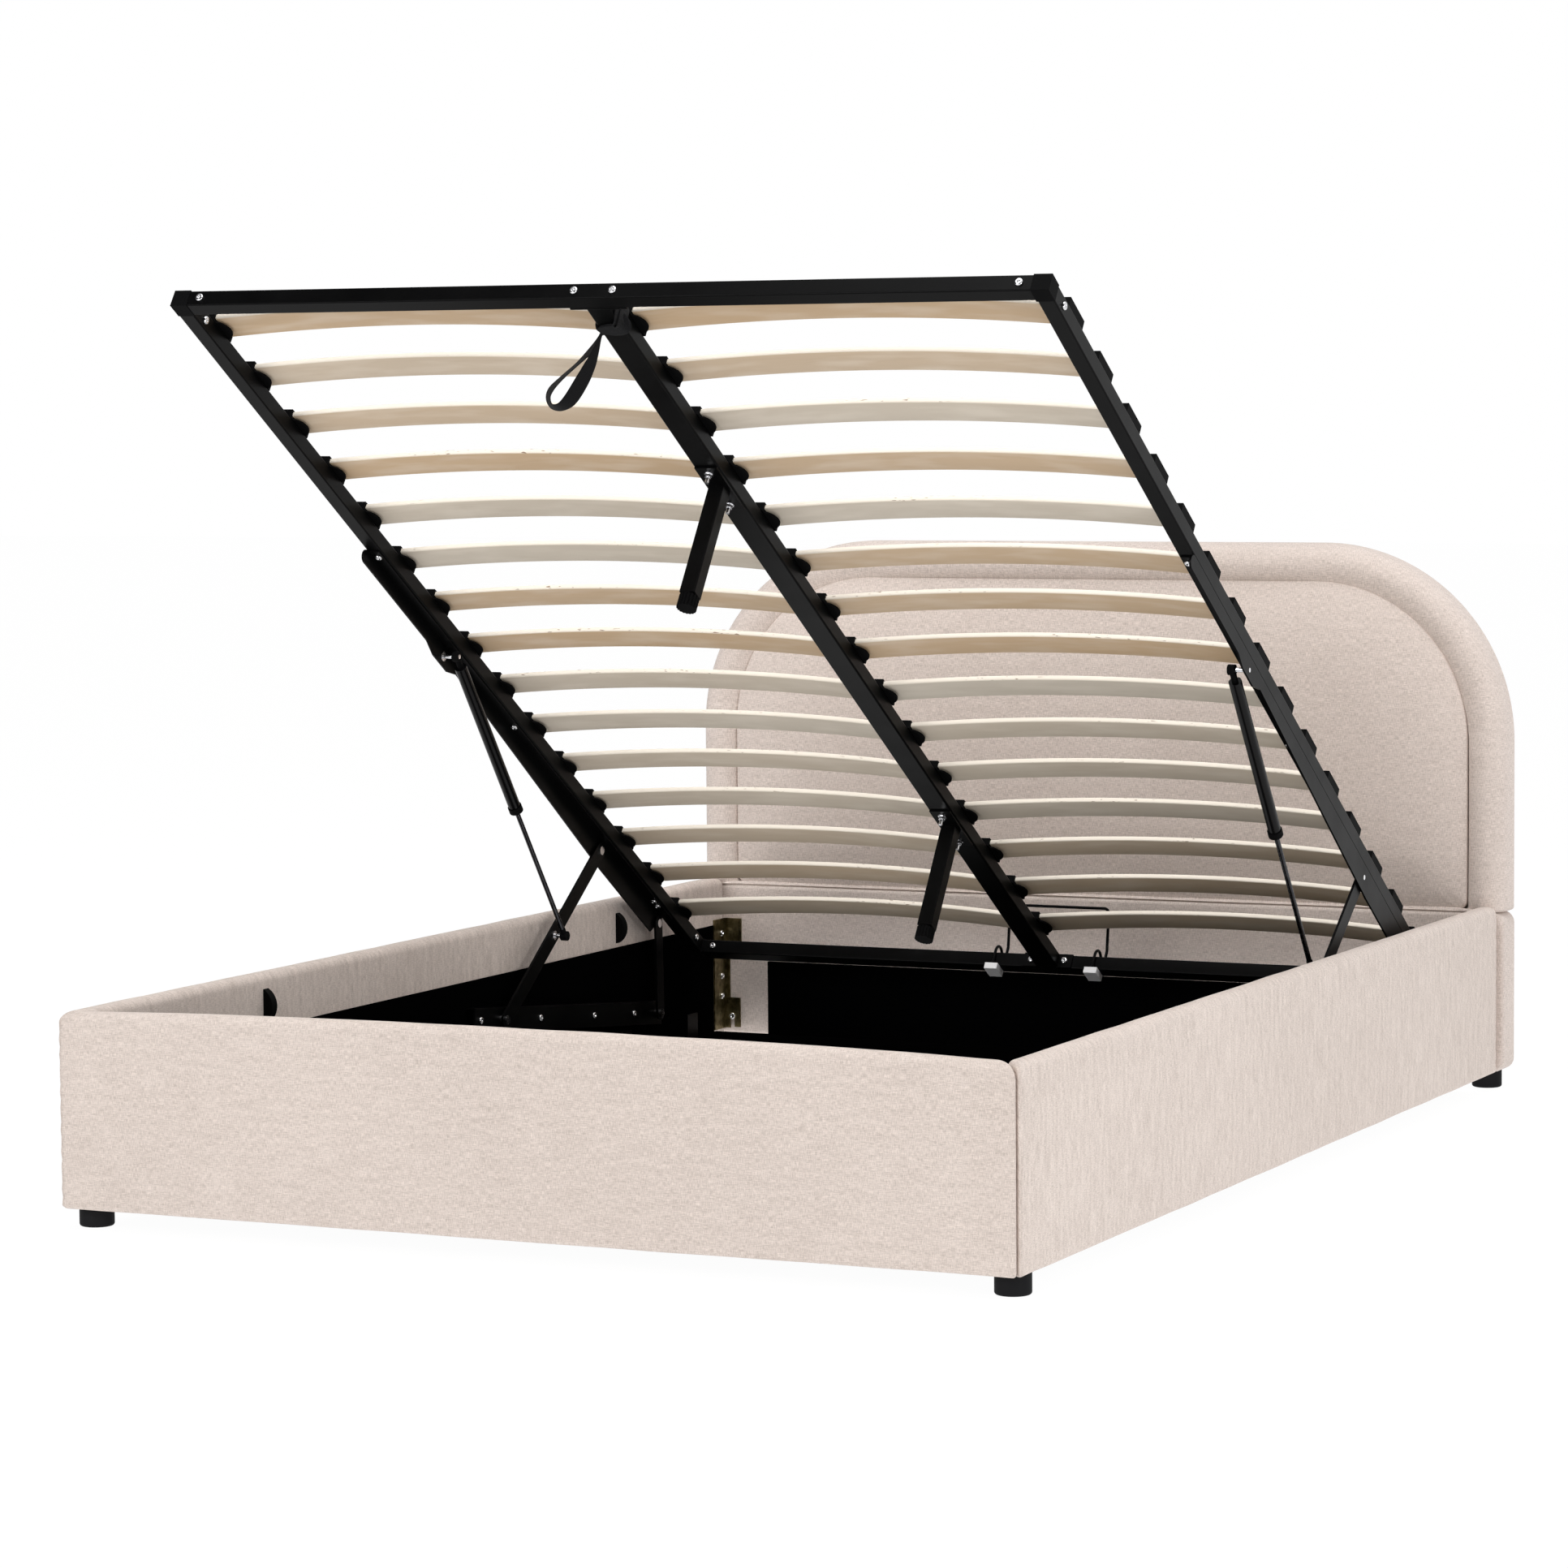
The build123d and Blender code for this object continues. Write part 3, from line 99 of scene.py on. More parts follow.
class Signal:
    """One shader socket on which Python arithmetic adds Math nodes."""

    def __init__(self, sheet: "NodeSheet", socket: bpy.types.NodeSocket) -> None:
        """Keeps the sheet that the nodes go to and the socket itself."""
        self.sheet = sheet
        self.socket = socket

    def _math(self, operation: str, first: object, second: object) -> "Signal":
        """Adds one Math node.

        Args:
            operation: The Math node's operation.
            first: Its first value, a Signal or a number.
            second: Its second value, a Signal or a number.

        Returns:
            The node's result.
        """
        return self.sheet.add("ShaderNodeMath", {"operation": operation}, {0: first, 1: second})

    def __add__(self, other: object) -> "Signal":
        """Sum of the two."""
        return self._math("ADD", self, other)

    def __radd__(self, other: object) -> "Signal":
        """Sum of the two."""
        return self._math("ADD", other, self)

    def __sub__(self, other: object) -> "Signal":
        """This less the other."""
        return self._math("SUBTRACT", self, other)

    def __rsub__(self, other: object) -> "Signal":
        """The other less this."""
        return self._math("SUBTRACT", other, self)

    def __mul__(self, other: object) -> "Signal":
        """Product of the two."""
        return self._math("MULTIPLY", self, other)

    def __rmul__(self, other: object) -> "Signal":
        """Product of the two."""
        return self._math("MULTIPLY", other, self)

    def sine(self) -> "Signal":
        """Sine of this value in radians."""
        return self._math("SINE", self, 0.0)

    def stretch(self, low: float, high: float, to_low: float = 0.0, to_high: float = 1.0) -> "Signal":
        """This value carried from one range to another, held inside it."""
        values = {"Value": self, "From Min": low, "From Max": high, "To Min": to_low, "To Max": to_high}
        return self.sheet.add("ShaderNodeMapRange", {"clamp": True}, values, "Result")


class NodeSheet:
    """The nodes of one material or of the world."""

    def __init__(self, tree: bpy.types.NodeTree) -> None:
        """Starts with an empty tree."""
        self.nodes = tree.nodes
        self.links = tree.links
        self.nodes.clear()

    def plug(self, node: bpy.types.Node, key: object, value: object) -> None:
        """Sets one socket of a node to a number or colour, or links a Signal to it."""
        if isinstance(value, Signal):
            self.links.new(value.socket, node.inputs[key])
        else:
            node.inputs[key].default_value = value

    def add(self, kind: str, settings: dict, inputs: dict, output: object = 0) -> Signal:
        """Adds one node.

        Args:
            kind: The node's type.
            settings: Its settings, set before its sockets.
            inputs: Values or Signals by socket name or number.
            output: Name or number of the socket to return.

        Returns:
            The chosen output.
        """
        node = self.nodes.new(kind)
        for key, value in settings.items():
            setattr(node, key, value)
        for key, value in inputs.items():
            self.plug(node, key, value)
        return Signal(self, node.outputs[output])

    def split(self, where: Signal) -> tuple[Signal, Signal, Signal]:
        """The three axes of a place, each on its own."""
        node = self.add("ShaderNodeSeparateXYZ", {}, {0: where}).socket.node
        return tuple(Signal(self, node.outputs[axis]) for axis in range(3))

    def noise(self, where: Signal, scale: float | Triple, detail: float, roughness: float) -> Signal:
        """Cloudy noise from nought to one, with one scale or with a scale for each axis of the place."""
        if isinstance(scale, tuple):
            where = self.add("ShaderNodeVectorMath", {"operation": "MULTIPLY"}, {0: where, 1: scale})
            scale = 1.0
        values = {"Vector": where, "Scale": scale, "Detail": detail, "Roughness": roughness}
        return self.add("ShaderNodeTexNoise", {"noise_dimensions": "3D"}, values, "Fac")

    def blend(self, factor: Signal, first: object, second: object) -> Signal:
        """A colour between two, by a factor from nought to one."""
        colours = [(*c, 1.0) if isinstance(c, tuple) else c for c in (first, second)]
        values = {0: factor, 6: colours[0], 7: colours[1]}
        return self.add("ShaderNodeMix", {"data_type": "RGBA"}, values, 2)


class ShaderSheet(NodeSheet):
    """The nodes of one material, with its principled shader."""

    def __init__(self, name: str) -> None:
        """Starts an empty material with a principled shader and an output."""
        self.material = bpy.data.materials.new(name)
        self.material.use_nodes = True
        super().__init__(self.material.node_tree)
        self.shader = self.nodes.new("ShaderNodeBsdfPrincipled")
        output = self.nodes.new("ShaderNodeOutputMaterial")
        self.links.new(self.shader.outputs["BSDF"], output.inputs["Surface"])

    def place(self) -> Signal:
        """The place on the object, in metres."""
        return self.add("ShaderNodeTexCoord", {}, {}, "Object")

    def mapped(self, name: str) -> Signal:
        """The place on the named UV map."""
        return self.add("ShaderNodeUVMap", {"uv_map": name}, {}, "UV")

    def shade(self, values: dict[str, object]) -> None:
        """Sets or links the principled shader's sockets, by name."""
        for key, value in values.items():
            self.plug(self.shader, key, value)

    def relief(self, height: Signal, depth: float, strength: float, rounding: float = 0.0) -> None:
        """Feeds a height into the normal as a bump of that depth, over edges rounded by a radius if any."""
        values = {"Height": height, "Distance": depth, "Strength": strength}
        if rounding:
            values["Normal"] = self.add("ShaderNodeBevel", {"samples": 4}, {"Radius": rounding}, "Normal")
        self.shade({"Normal": self.add("ShaderNodeBump", {}, values, "Normal")})


# Finishes


@dataclass(frozen=True)
class Finish:
    """A finish that can be laid on any piece."""

    name: str
    colour: Triple
    roughness: float = 0.5

    def dress(self, sheet: ShaderSheet) -> None:
        """Adds the finish's own nodes to a sheet."""
        raise NotImplementedError

    def paler(self, factor: float, lift: float = 0.0006) -> Triple:
        """The colour times a factor, with a small lift so that black changes too, held at white."""
        return tuple(min(1.0, channel * factor + lift) for channel in self.colour)

    def gloss(self, source: Signal, low: float, high: float, less: float, more: float) -> Signal:
        """Roughness from a little less to a little more than usual, as a signal goes from low to high."""
        return source.stretch(low, high, self.roughness - less, self.roughness + more)

    def material(self) -> bpy.types.Material:
        """The finish as a material, made once and then shared."""
        found = bpy.data.materials.get(self.name)
        if found is not None:
            return found
        sheet = ShaderSheet(self.name)
        self.dress(sheet)
        return sheet.material


@dataclass(frozen=True)
class WovenCloth(Finish):
    """Heathered plain weave that reads a UV map in metres; the colour is its palest tone.

    The streaks, ticks, blotches, flecks and drift are added by their weights, and the spread says how
    far on either side of the middle the sum runs from the deepest tone to the palest.
    """

    deep: Triple = (0.54, 0.455, 0.405)
    grain: Grain = Grain.ACROSS
    thread: float = 0.0011
    streak: float = 1.1
    tick: float = 0.9
    blotch: float = 0.3
    fleck: float = 0.6
    drift: float = 0.15
    spread: float = 0.26
    sheen: float = 0.2

    def scales(self, along: float, over: float) -> Triple:
        """Scales along the threads and over them, in the order of the UV map's axes."""
        return (along, over, 1.0) if self.grain is Grain.ACROSS else (over, along, 1.0)

    def dress(self, sheet: ShaderSheet) -> None:
        """Streaks along the threads, over soft blotches drawn out the same way and a fine plain weave."""
        where = sheet.mapped("weave")
        streaks = sheet.noise(where, self.scales(90.0, 1100.0), 3.0, 0.62)
        ticks = sheet.noise(where, self.scales(1000.0, 130.0), 2.0, 0.55)
        blotches = sheet.noise(where, self.scales(18.0, 110.0), 3.0, 0.55)
        flecks = sheet.noise(where, 1500.0, 1.0, 0.5)
        drift = sheet.noise(where, 2.6, 2.0, 0.5)
        tone = streaks * self.streak + ticks * self.tick + blotches * self.blotch
        tone = tone + flecks * self.fleck + drift * self.drift
        middle = 0.5 * (self.streak + self.tick + self.blotch + self.fleck + self.drift)
        share = tone.stretch(middle - self.spread, middle + self.spread)
        across, up, _ = sheet.split(where)
        turn = 2.0 * math.pi / self.thread
        weave = (across * turn).sine() * (up * turn).sine()
        sheet.relief(weave * 0.3 + streaks * 1.1 + ticks * 0.7, 0.0005, 0.6)
        sheet.shade(
            {
                "Base Color": sheet.blend(share, self.deep, self.colour),
                "Roughness": flecks.stretch(0.2, 0.8, 0.82, 0.95),
                "Sheen Weight": self.sheen,
                "Sheen Roughness": 0.5,
                "Specular IOR Level": 0.1,
            }
        )


@dataclass(frozen=True)
class PowderCoat(Finish):
    """Baked powder paint with a fine orange peel and faintly rounded edges."""

    rounding: float = 0.0007
    shine: float = 0.055

    def dress(self, sheet: ShaderSheet) -> None:
        """A fine bump, a slow change of gloss and a small rounding of the edges."""
        peel = sheet.noise(sheet.place(), 900.0, 2.0, 0.5)
        cloud = sheet.noise(sheet.place(), 9.0, 3.0, 0.6)
        sheet.relief(peel, 0.0001, 0.35, self.rounding)
        sheet.shade(
            {
                "Base Color": sheet.blend(cloud.stretch(0.3, 0.75), self.colour, self.paler(1.6)),
                "Roughness": self.gloss(cloud, 0.2, 0.8, 0.06, 0.08),
                "Specular IOR Level": self.shine,
            }
        )


@dataclass(frozen=True)
class MouldedPlastic(Finish):
    """Moulded plastic with a fine spark-eroded texture."""

    rounding: float = 0.0009
    shine: float = 0.04

    def dress(self, sheet: ShaderSheet) -> None:
        """A grain of fine pits with edges slightly rounded."""
        pits = sheet.noise(sheet.place(), 1400.0, 1.0, 0.5)
        cloud = sheet.noise(sheet.place(), 14.0, 2.0, 0.5)
        sheet.relief(pits, 0.0001, 0.3, self.rounding)
        sheet.shade(
            {
                "Base Color": sheet.blend(cloud.stretch(0.3, 0.7), self.colour, self.paler(1.3)),
                "Roughness": self.gloss(pits, 0.2, 0.8, 0.05, 0.05),
                "Specular IOR Level": self.shine,
            }
        )


@dataclass(frozen=True)
class FeltLining(Finish):
    """Thin non-woven lining with short pressed fibres."""

    def dress(self, sheet: ShaderSheet) -> None:
        """Fibres as stretched noise in two directions, hardly paler than the ground."""
        first = sheet.noise(sheet.place(), (220.0, 220.0, 900.0), 2.0, 0.6)
        second = sheet.noise(sheet.place(), (900.0, 900.0, 220.0), 2.0, 0.6)
        fibres = first * 0.5 + second * 0.5
        sheet.relief(fibres, 0.0004, 0.5)
        sheet.shade(
            {
                "Base Color": sheet.blend(fibres.stretch(0.35, 0.7), self.colour, self.paler(2.0, 0.0005)),
                "Roughness": self.gloss(fibres, 0.3, 0.7, 0.05, 0.05),
                "Specular IOR Level": 0.0,
            }
        )


@dataclass(frozen=True)
class PlatedMetal(Finish):
    """Zinc plate, bright or passivated, with a cloudy tint and fine drawing marks."""

    tint: Triple = (0.7, 0.7, 0.72)
    marks: float = 260.0

    def dress(self, sheet: ShaderSheet) -> None:
        """A cloudy mix of two tints, with gloss that varies along fine marks."""
        cloud = sheet.noise(sheet.place(), 70.0, 3.0, 0.6)
        drawn = sheet.noise(sheet.place(), (self.marks, self.marks, self.marks * 0.08), 2.0, 0.5)
        sheet.relief(drawn, 0.0001, 0.15)
        sheet.shade(
            {
                "Base Color": sheet.blend(cloud.stretch(0.35, 0.65), self.colour, self.tint),
                "Roughness": self.gloss(drawn, 0.3, 0.7, 0.08, 0.1),
                "Metallic": 1.0,
            }
        )


@dataclass(frozen=True)
class BirchPly(Finish):
    """Sealed birch lath that reads a UV map, metres along the lath and round its section, and its marks.

    The marks carry one on the narrow edges and, second, the lath's own tone from nought to one.
    """

    grey: Triple = (0.60, 0.535, 0.445)
    deep: Triple = (0.36, 0.25, 0.155)
    edge: Triple = (0.90, 0.82, 0.71)
    knot: Triple = (0.20, 0.11, 0.05)
    ply: float = 0.0016

    def dress(self, sheet: ShaderSheet) -> None:
        """Long grain and pores on the broad faces, plies and a few dark knots on the edges."""
        where = sheet.mapped("grain")
        marks = sheet.add("ShaderNodeAttribute", {"attribute_name": "lath_marks"}, {}, "Vector")
        side, tone, _ = sheet.split(marks)
        warp = sheet.noise(where, (3.0, 14.0, 1.0), 2.0, 0.5)
        figure = sheet.noise(where, (5.0, 110.0, 1.0), 4.0, 0.6)
        pores = sheet.noise(where, (60.0, 1500.0, 1.0), 2.0, 0.6)
        cloud = sheet.noise(where, (9.0, 40.0, 1.0), 2.0, 0.5)
        streaked = figure * 0.8 + warp * 0.5 - 0.25
        wood = sheet.blend(tone, self.colour, self.grey)
        wood = sheet.blend(streaked.stretch(0.45, 0.85, 0.0, 0.30), wood, self.deep)
        wood = sheet.blend(cloud.stretch(0.45, 0.7, 0.0, 0.22), wood, self.edge)
        wood = sheet.blend(pores.stretch(0.62, 0.8, 0.0, 0.28), wood, self.deep)
        _, section, _ = sheet.split(where)
        plies = (section * (2.0 * math.pi / self.ply)).sine()
        pale = sheet.blend(plies.stretch(0.55, 1.0, 0.0, 0.22), self.edge, self.deep)
        knots = sheet.noise(where, (75.0, 320.0, 1.0), 1.0, 0.4)
        sparse = sheet.noise(where, (4.0, 1.0, 1.0), 1.0, 0.5)
        spots = knots.stretch(0.66, 0.72) * sparse.stretch(0.5, 0.62, 0.0, 0.85)
        pale = sheet.blend(spots, pale, self.knot)
        sheet.relief(pores * 0.6 + figure * 0.4, 0.0003, 0.35)
        sheet.shade(
            {
                "Base Color": sheet.blend(side, wood, pale),
                "Roughness": self.gloss(pores, 0.3, 0.8, 0.05, 0.12),
                "Specular IOR Level": 0.3,
            }
        )


@dataclass(frozen=True)
class RibbedWebbing(Finish):
    """Woven strap with lengthwise ribs that reads a UV map in metres."""

    pale: Triple = (0.010, 0.010, 0.0115)
    rib: float = 0.0022
    pick: float = 0.0016

    def dress(self, sheet: ShaderSheet) -> None:
        """Ribs along the strap crossed by a fine herringbone of picks."""
        along, across, _ = sheet.split(sheet.mapped("weave"))
        ribs = (across * (2.0 * math.pi / self.rib)).sine()
        picks = (along * (2.0 * math.pi / self.pick) + ribs * 1.2).sine()
        height = ribs * 0.5 + picks * 0.5
        sheet.relief(height, 0.0004, 0.7)
        sheet.shade(
            {
                "Base Color": sheet.blend(height.stretch(-0.6, 0.9), self.colour, self.pale),
                "Roughness": self.gloss(picks, -1.0, 1.0, 0.08, 0.08),
                "Sheen Weight": 0.04,
                "Specular IOR Level": 0.1,
            }
        )


FOOT_CLOTH = WovenCloth("panel_cloth", (0.86, 0.755, 0.69))
RAIL_CLOTH = WovenCloth("rail_cloth", (0.86, 0.755, 0.69), grain=Grain.UPRIGHT, blotch=0.55)
# The headboard's cloth is the panels' cloth made about a twentieth paler: painted light on the headboard,
# which sits in shade behind the deck.
HEAD_CLOTH_PAINTED_LIGHT = WovenCloth("headboard_cloth_painted_light", (0.90, 0.79, 0.73), blotch=0.2)
BLACK_STEEL = PowderCoat("black_powder_coat", (0.0015, 0.0015, 0.0016), 0.34)
STRUT_BLACK = PowderCoat("strut_paint", (0.0016, 0.0016, 0.0018), 0.22, shine=0.16)
ROD_STEEL = PlatedMetal("ground_rod", (0.03, 0.03, 0.033), 0.25, tint=(0.06, 0.06, 0.065))
BLACK_PLASTIC = MouldedPlastic("moulded_black", (0.0024, 0.0024, 0.0026), 0.66)
FOOT_PLASTIC = MouldedPlastic("foot_plastic", (0.010, 0.010, 0.011), 0.6, shine=0.05)
WHITE_PLASTIC = MouldedPlastic("moulded_white", (0.93, 0.93, 0.94), 0.4, shine=0.35)
LINING = FeltLining("black_lining", (0.0007, 0.0007, 0.0008), 0.9)
DARK_BOARD = FeltLining("black_board", (0.0006, 0.0006, 0.0007), 0.7)
BRIGHT_ZINC = PlatedMetal("bright_zinc", (0.62, 0.62, 0.64), 0.2, tint=(0.82, 0.82, 0.84))
YELLOW_ZINC = PlatedMetal("passivated_zinc", (0.13, 0.105, 0.045), 0.34, tint=(0.34, 0.285, 0.155))
BIRCH = BirchPly("birch_lath", (0.565, 0.405, 0.252), 0.42)
WEBBING = RibbedWebbing("black_webbing", (0.003, 0.003, 0.0034), 0.75)


# Surfaces


def grid_quads(index: np.ndarray) -> np.ndarray:
    """The faces between neighbouring rows and columns of a grid of point numbers, as rows of four."""
    corners = (index[:-1, :-1], index[1:, :-1], index[1:, 1:], index[:-1, 1:])
    return np.stack(corners, axis=-1).reshape(-1, 4)


class Shell:
    """Collects grids of points and closes them into one mesh."""

    def __init__(self, uv_name: str = "weave") -> None:
        """Starts with no points."""
        self.uv_name = uv_name
        self.points: list[np.ndarray] = []
        self.quads: list[np.ndarray] = []
        self.quad_uvs: list[np.ndarray] = []
        self.marks: list[np.ndarray] = []
        self.count = 0

    def grid(self, points: np.ndarray, uv: np.ndarray, mark: np.ndarray | None = None) -> None:
        """Adds one closed surface, a grid whose columns form a loop and whose end rows close to lines.

        The faces are turned by the sign of the volume that they enclose.

        Args:
            points: Places as rows by columns by 3.
            uv: Texture places as rows by columns by 2, with one column more than the points have.
            mark: Two values for each point, as rows by columns by 2, such as an edge mask and a tone.
        """
        rows, cols = points.shape[:2]
        index = np.arange(rows * cols).reshape(rows, cols)
        quads = grid_quads(np.concatenate([index, index[:, :1]], axis=1))
        places = (uv[:-1, :-1], uv[1:, :-1], uv[1:, 1:], uv[:-1, 1:])
        quad_uv = np.stack(places, axis=2).reshape(-1, 4, 2)
        flat = points.reshape(-1, 3)
        centred = flat - flat.mean(axis=0)
        a, b, c, d = (centred[quads[:, k]] for k in range(4))
        volume = np.einsum("ij,ij->", a, np.cross(b, c)) + np.einsum("ij,ij->", a, np.cross(c, d))
        if volume < 0:
            quads = quads[:, ::-1]
            quad_uv = quad_uv[:, ::-1]
        self.points.append(flat)
        self.quads.append(quads + self.count)
        self.quad_uvs.append(quad_uv)
        self.marks.append(np.zeros((len(flat), 2)) if mark is None else mark.reshape(-1, 2))
        self.count += len(flat)

    def piece(self, name: str, finish: Finish, mark_name: str = "") -> bpy.types.Object:
        """Makes the mesh object.

        Args:
            name: The piece's name.
            finish: What it is dressed in.
            mark_name: Name of the point attribute that carries the marks, if any.

        Returns:
            The object, linked to the scene at the origin.
        """
        mesh = bpy.data.meshes.new(name)
        quads = np.concatenate(self.quads)
        mesh.from_pydata(np.concatenate(self.points).tolist(), [], quads.tolist())
        layer = mesh.uv_layers.new(name=self.uv_name)
        layer.data.foreach_set("uv", np.concatenate(self.quad_uvs).reshape(-1).astype(np.float32))
        mesh.polygons.foreach_set("use_smooth", np.ones(len(quads), dtype=bool))
        if mark_name:
            attribute = mesh.attributes.new(mark_name, "FLOAT2", "POINT")
            attribute.data.foreach_set("vector", np.concatenate(self.marks).reshape(-1).astype(np.float32))
        mesh.materials.append(finish.material())
        weld_ends(mesh)
        piece = bpy.data.objects.new(name, mesh)
        bpy.context.scene.collection.objects.link(piece)
        return piece


def weld_ends(mesh: bpy.types.Mesh) -> None:
    """Merges the doubled points where a surface's rows close to a line or a point."""
    work = bmesh.new()
    work.from_mesh(mesh)
    bmesh.ops.remove_doubles(work, verts=work.verts, dist=1e-6)
    bmesh.ops.dissolve_degenerate(work, edges=work.edges, dist=1e-7)
    work.to_mesh(mesh)
    work.free()
    mesh.update()


def settle_piece(
    piece: bpy.types.Object,
    body: Body,
    stands_for: tuple[str, ...],
) -> bpy.types.Object:
    """Ties a finished piece to its body, hides the nodes that it stands for, and logs it.

    Args:
        piece: The object, in place.
        body: The body that it rides on.
        stands_for: The nodes that it replaces.

    Returns:
        The same object.
    """
    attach(piece, body.value)
    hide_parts(*stands_for)
    LOG.info("%s: %d faces on %s", piece.name, len(piece.data.polygons), body.value)
    return piece


def smooth_step(value: np.ndarray, low: float, high: float) -> np.ndarray:
    """Rises from nought at low to one at high along a cubic with level ends."""
    share = np.clip((value - low) / (high - low), 0.0, 1.0)
    return share * share * (3.0 - 2.0 * share)


def end_inset(distance: np.ndarray, radius: float) -> np.ndarray:
    """How far a section shrinks at a distance from a rounded end: a quarter circle of that radius."""
    short = np.clip(radius - distance, 0.0, radius)
    return radius - np.sqrt(radius * radius - short * short)


def ripple(across: np.ndarray, up: np.ndarray, seed: int, wave: float) -> np.ndarray:
    """Soft unevenness as a sum of eight plane waves of near equal length in fixed random directions."""
    chance = np.random.default_rng(seed)
    angles = chance.uniform(0.0, math.pi, 8)
    lengths = wave * chance.uniform(0.6, 1.6, 8)
    phases = chance.uniform(0.0, 2.0 * math.pi, 8)
    shape = np.zeros(np.broadcast(across, up).shape)
    for angle, length, phase in zip(angles, lengths, phases):
        shape += np.sin(2.0 * math.pi * (across * math.cos(angle) + up * math.sin(angle)) / length + phase)
    return shape / 8.0


def spaced(start: float, end: float, step: float) -> np.ndarray:
    """Evenly spaced values from start to end, about a step apart, without the last."""
    count = max(2, int(round(abs(end - start) / step)))
    return np.linspace(start, end, count, endpoint=False)


def travelled(points: np.ndarray, axis: int) -> np.ndarray:
    """Distance travelled along one axis of a grid of points, from its start."""
    steps = np.linalg.norm(np.diff(points, axis=axis), axis=-1)
    start = np.zeros_like(np.take(steps, [0], axis=axis))
    return np.cumsum(np.concatenate([start, steps], axis=axis), axis=axis)


def joined(stretches: list[tuple[object, ...]]) -> tuple[np.ndarray, ...]:
    """Stretches of a closed outline set end to end.

    Args:
        stretches: The values of each stretch, such as its x and z, that broadcast to outlines by places.

    Returns:
        One grid for each value.
    """
    grids = [np.broadcast_arrays(*stretch) for stretch in stretches]
    return tuple(np.concatenate(column, axis=1) for column in zip(*grids))


# Swelling


@dataclass(frozen=True)
class Inflation:
    """Short cloth simulation that swells a padded piece and is then kept as its shape."""

    pressure: float = 4.0
    cap: float = 0.005
    frames: int = 20
    mass: float = 0.14

    def apply(self, piece: bpy.types.Object, held_behind: float) -> None:
        """Swells the piece from inside, with its back held, and caps how far each point may move.

        Args:
            piece: The piece, in place and without modifiers.
            held_behind: Places whose y is beyond this don't move.
        """
        mesh = piece.data
        rest = np.empty(len(mesh.vertices) * 3)
        mesh.vertices.foreach_get("co", rest)
        rest = rest.reshape(-1, 3)
        held = piece.vertex_groups.new(name="held")
        held.add(np.flatnonzero(rest[:, 1] > held_behind).tolist(), 1.0, "REPLACE")
        modifier = piece.modifiers.new("swell", "CLOTH")
        settings = modifier.settings
        settings.quality = 4
        settings.mass = self.mass
        settings.use_pressure = True
        settings.uniform_pressure_force = self.pressure
        settings.effector_weights.gravity = 0.0
        settings.vertex_group_mass = "held"
        modifier.collision_settings.use_collision = False
        modifier.point_cache.frame_end = self.frames
        scene = bpy.context.scene
        for frame in range(1, self.frames + 1):
            scene.frame_set(frame)
        swollen = piece.evaluated_get(bpy.context.evaluated_depsgraph_get()).data
        places = np.empty(len(mesh.vertices) * 3)
        swollen.vertices.foreach_get("co", places)
        move = places.reshape(-1, 3) - rest
        length = np.linalg.norm(move, axis=1, keepdims=True)
        move *= self.cap * np.tanh(length / self.cap) / np.maximum(length, 1e-9)
        piece.modifiers.remove(modifier)
        piece.vertex_groups.clear()
        scene.frame_set(1)
        mesh.vertices.foreach_set("co", (rest + move).reshape(-1))
        mesh.update()
        kept, free = np.linalg.norm(move, axis=1).max() * 1000.0, length.max() * 1000.0
        LOG.info("%s: swollen by up to %.1f mm, %.1f mm before the cap", piece.name, kept, free)


# Padded panels of the box


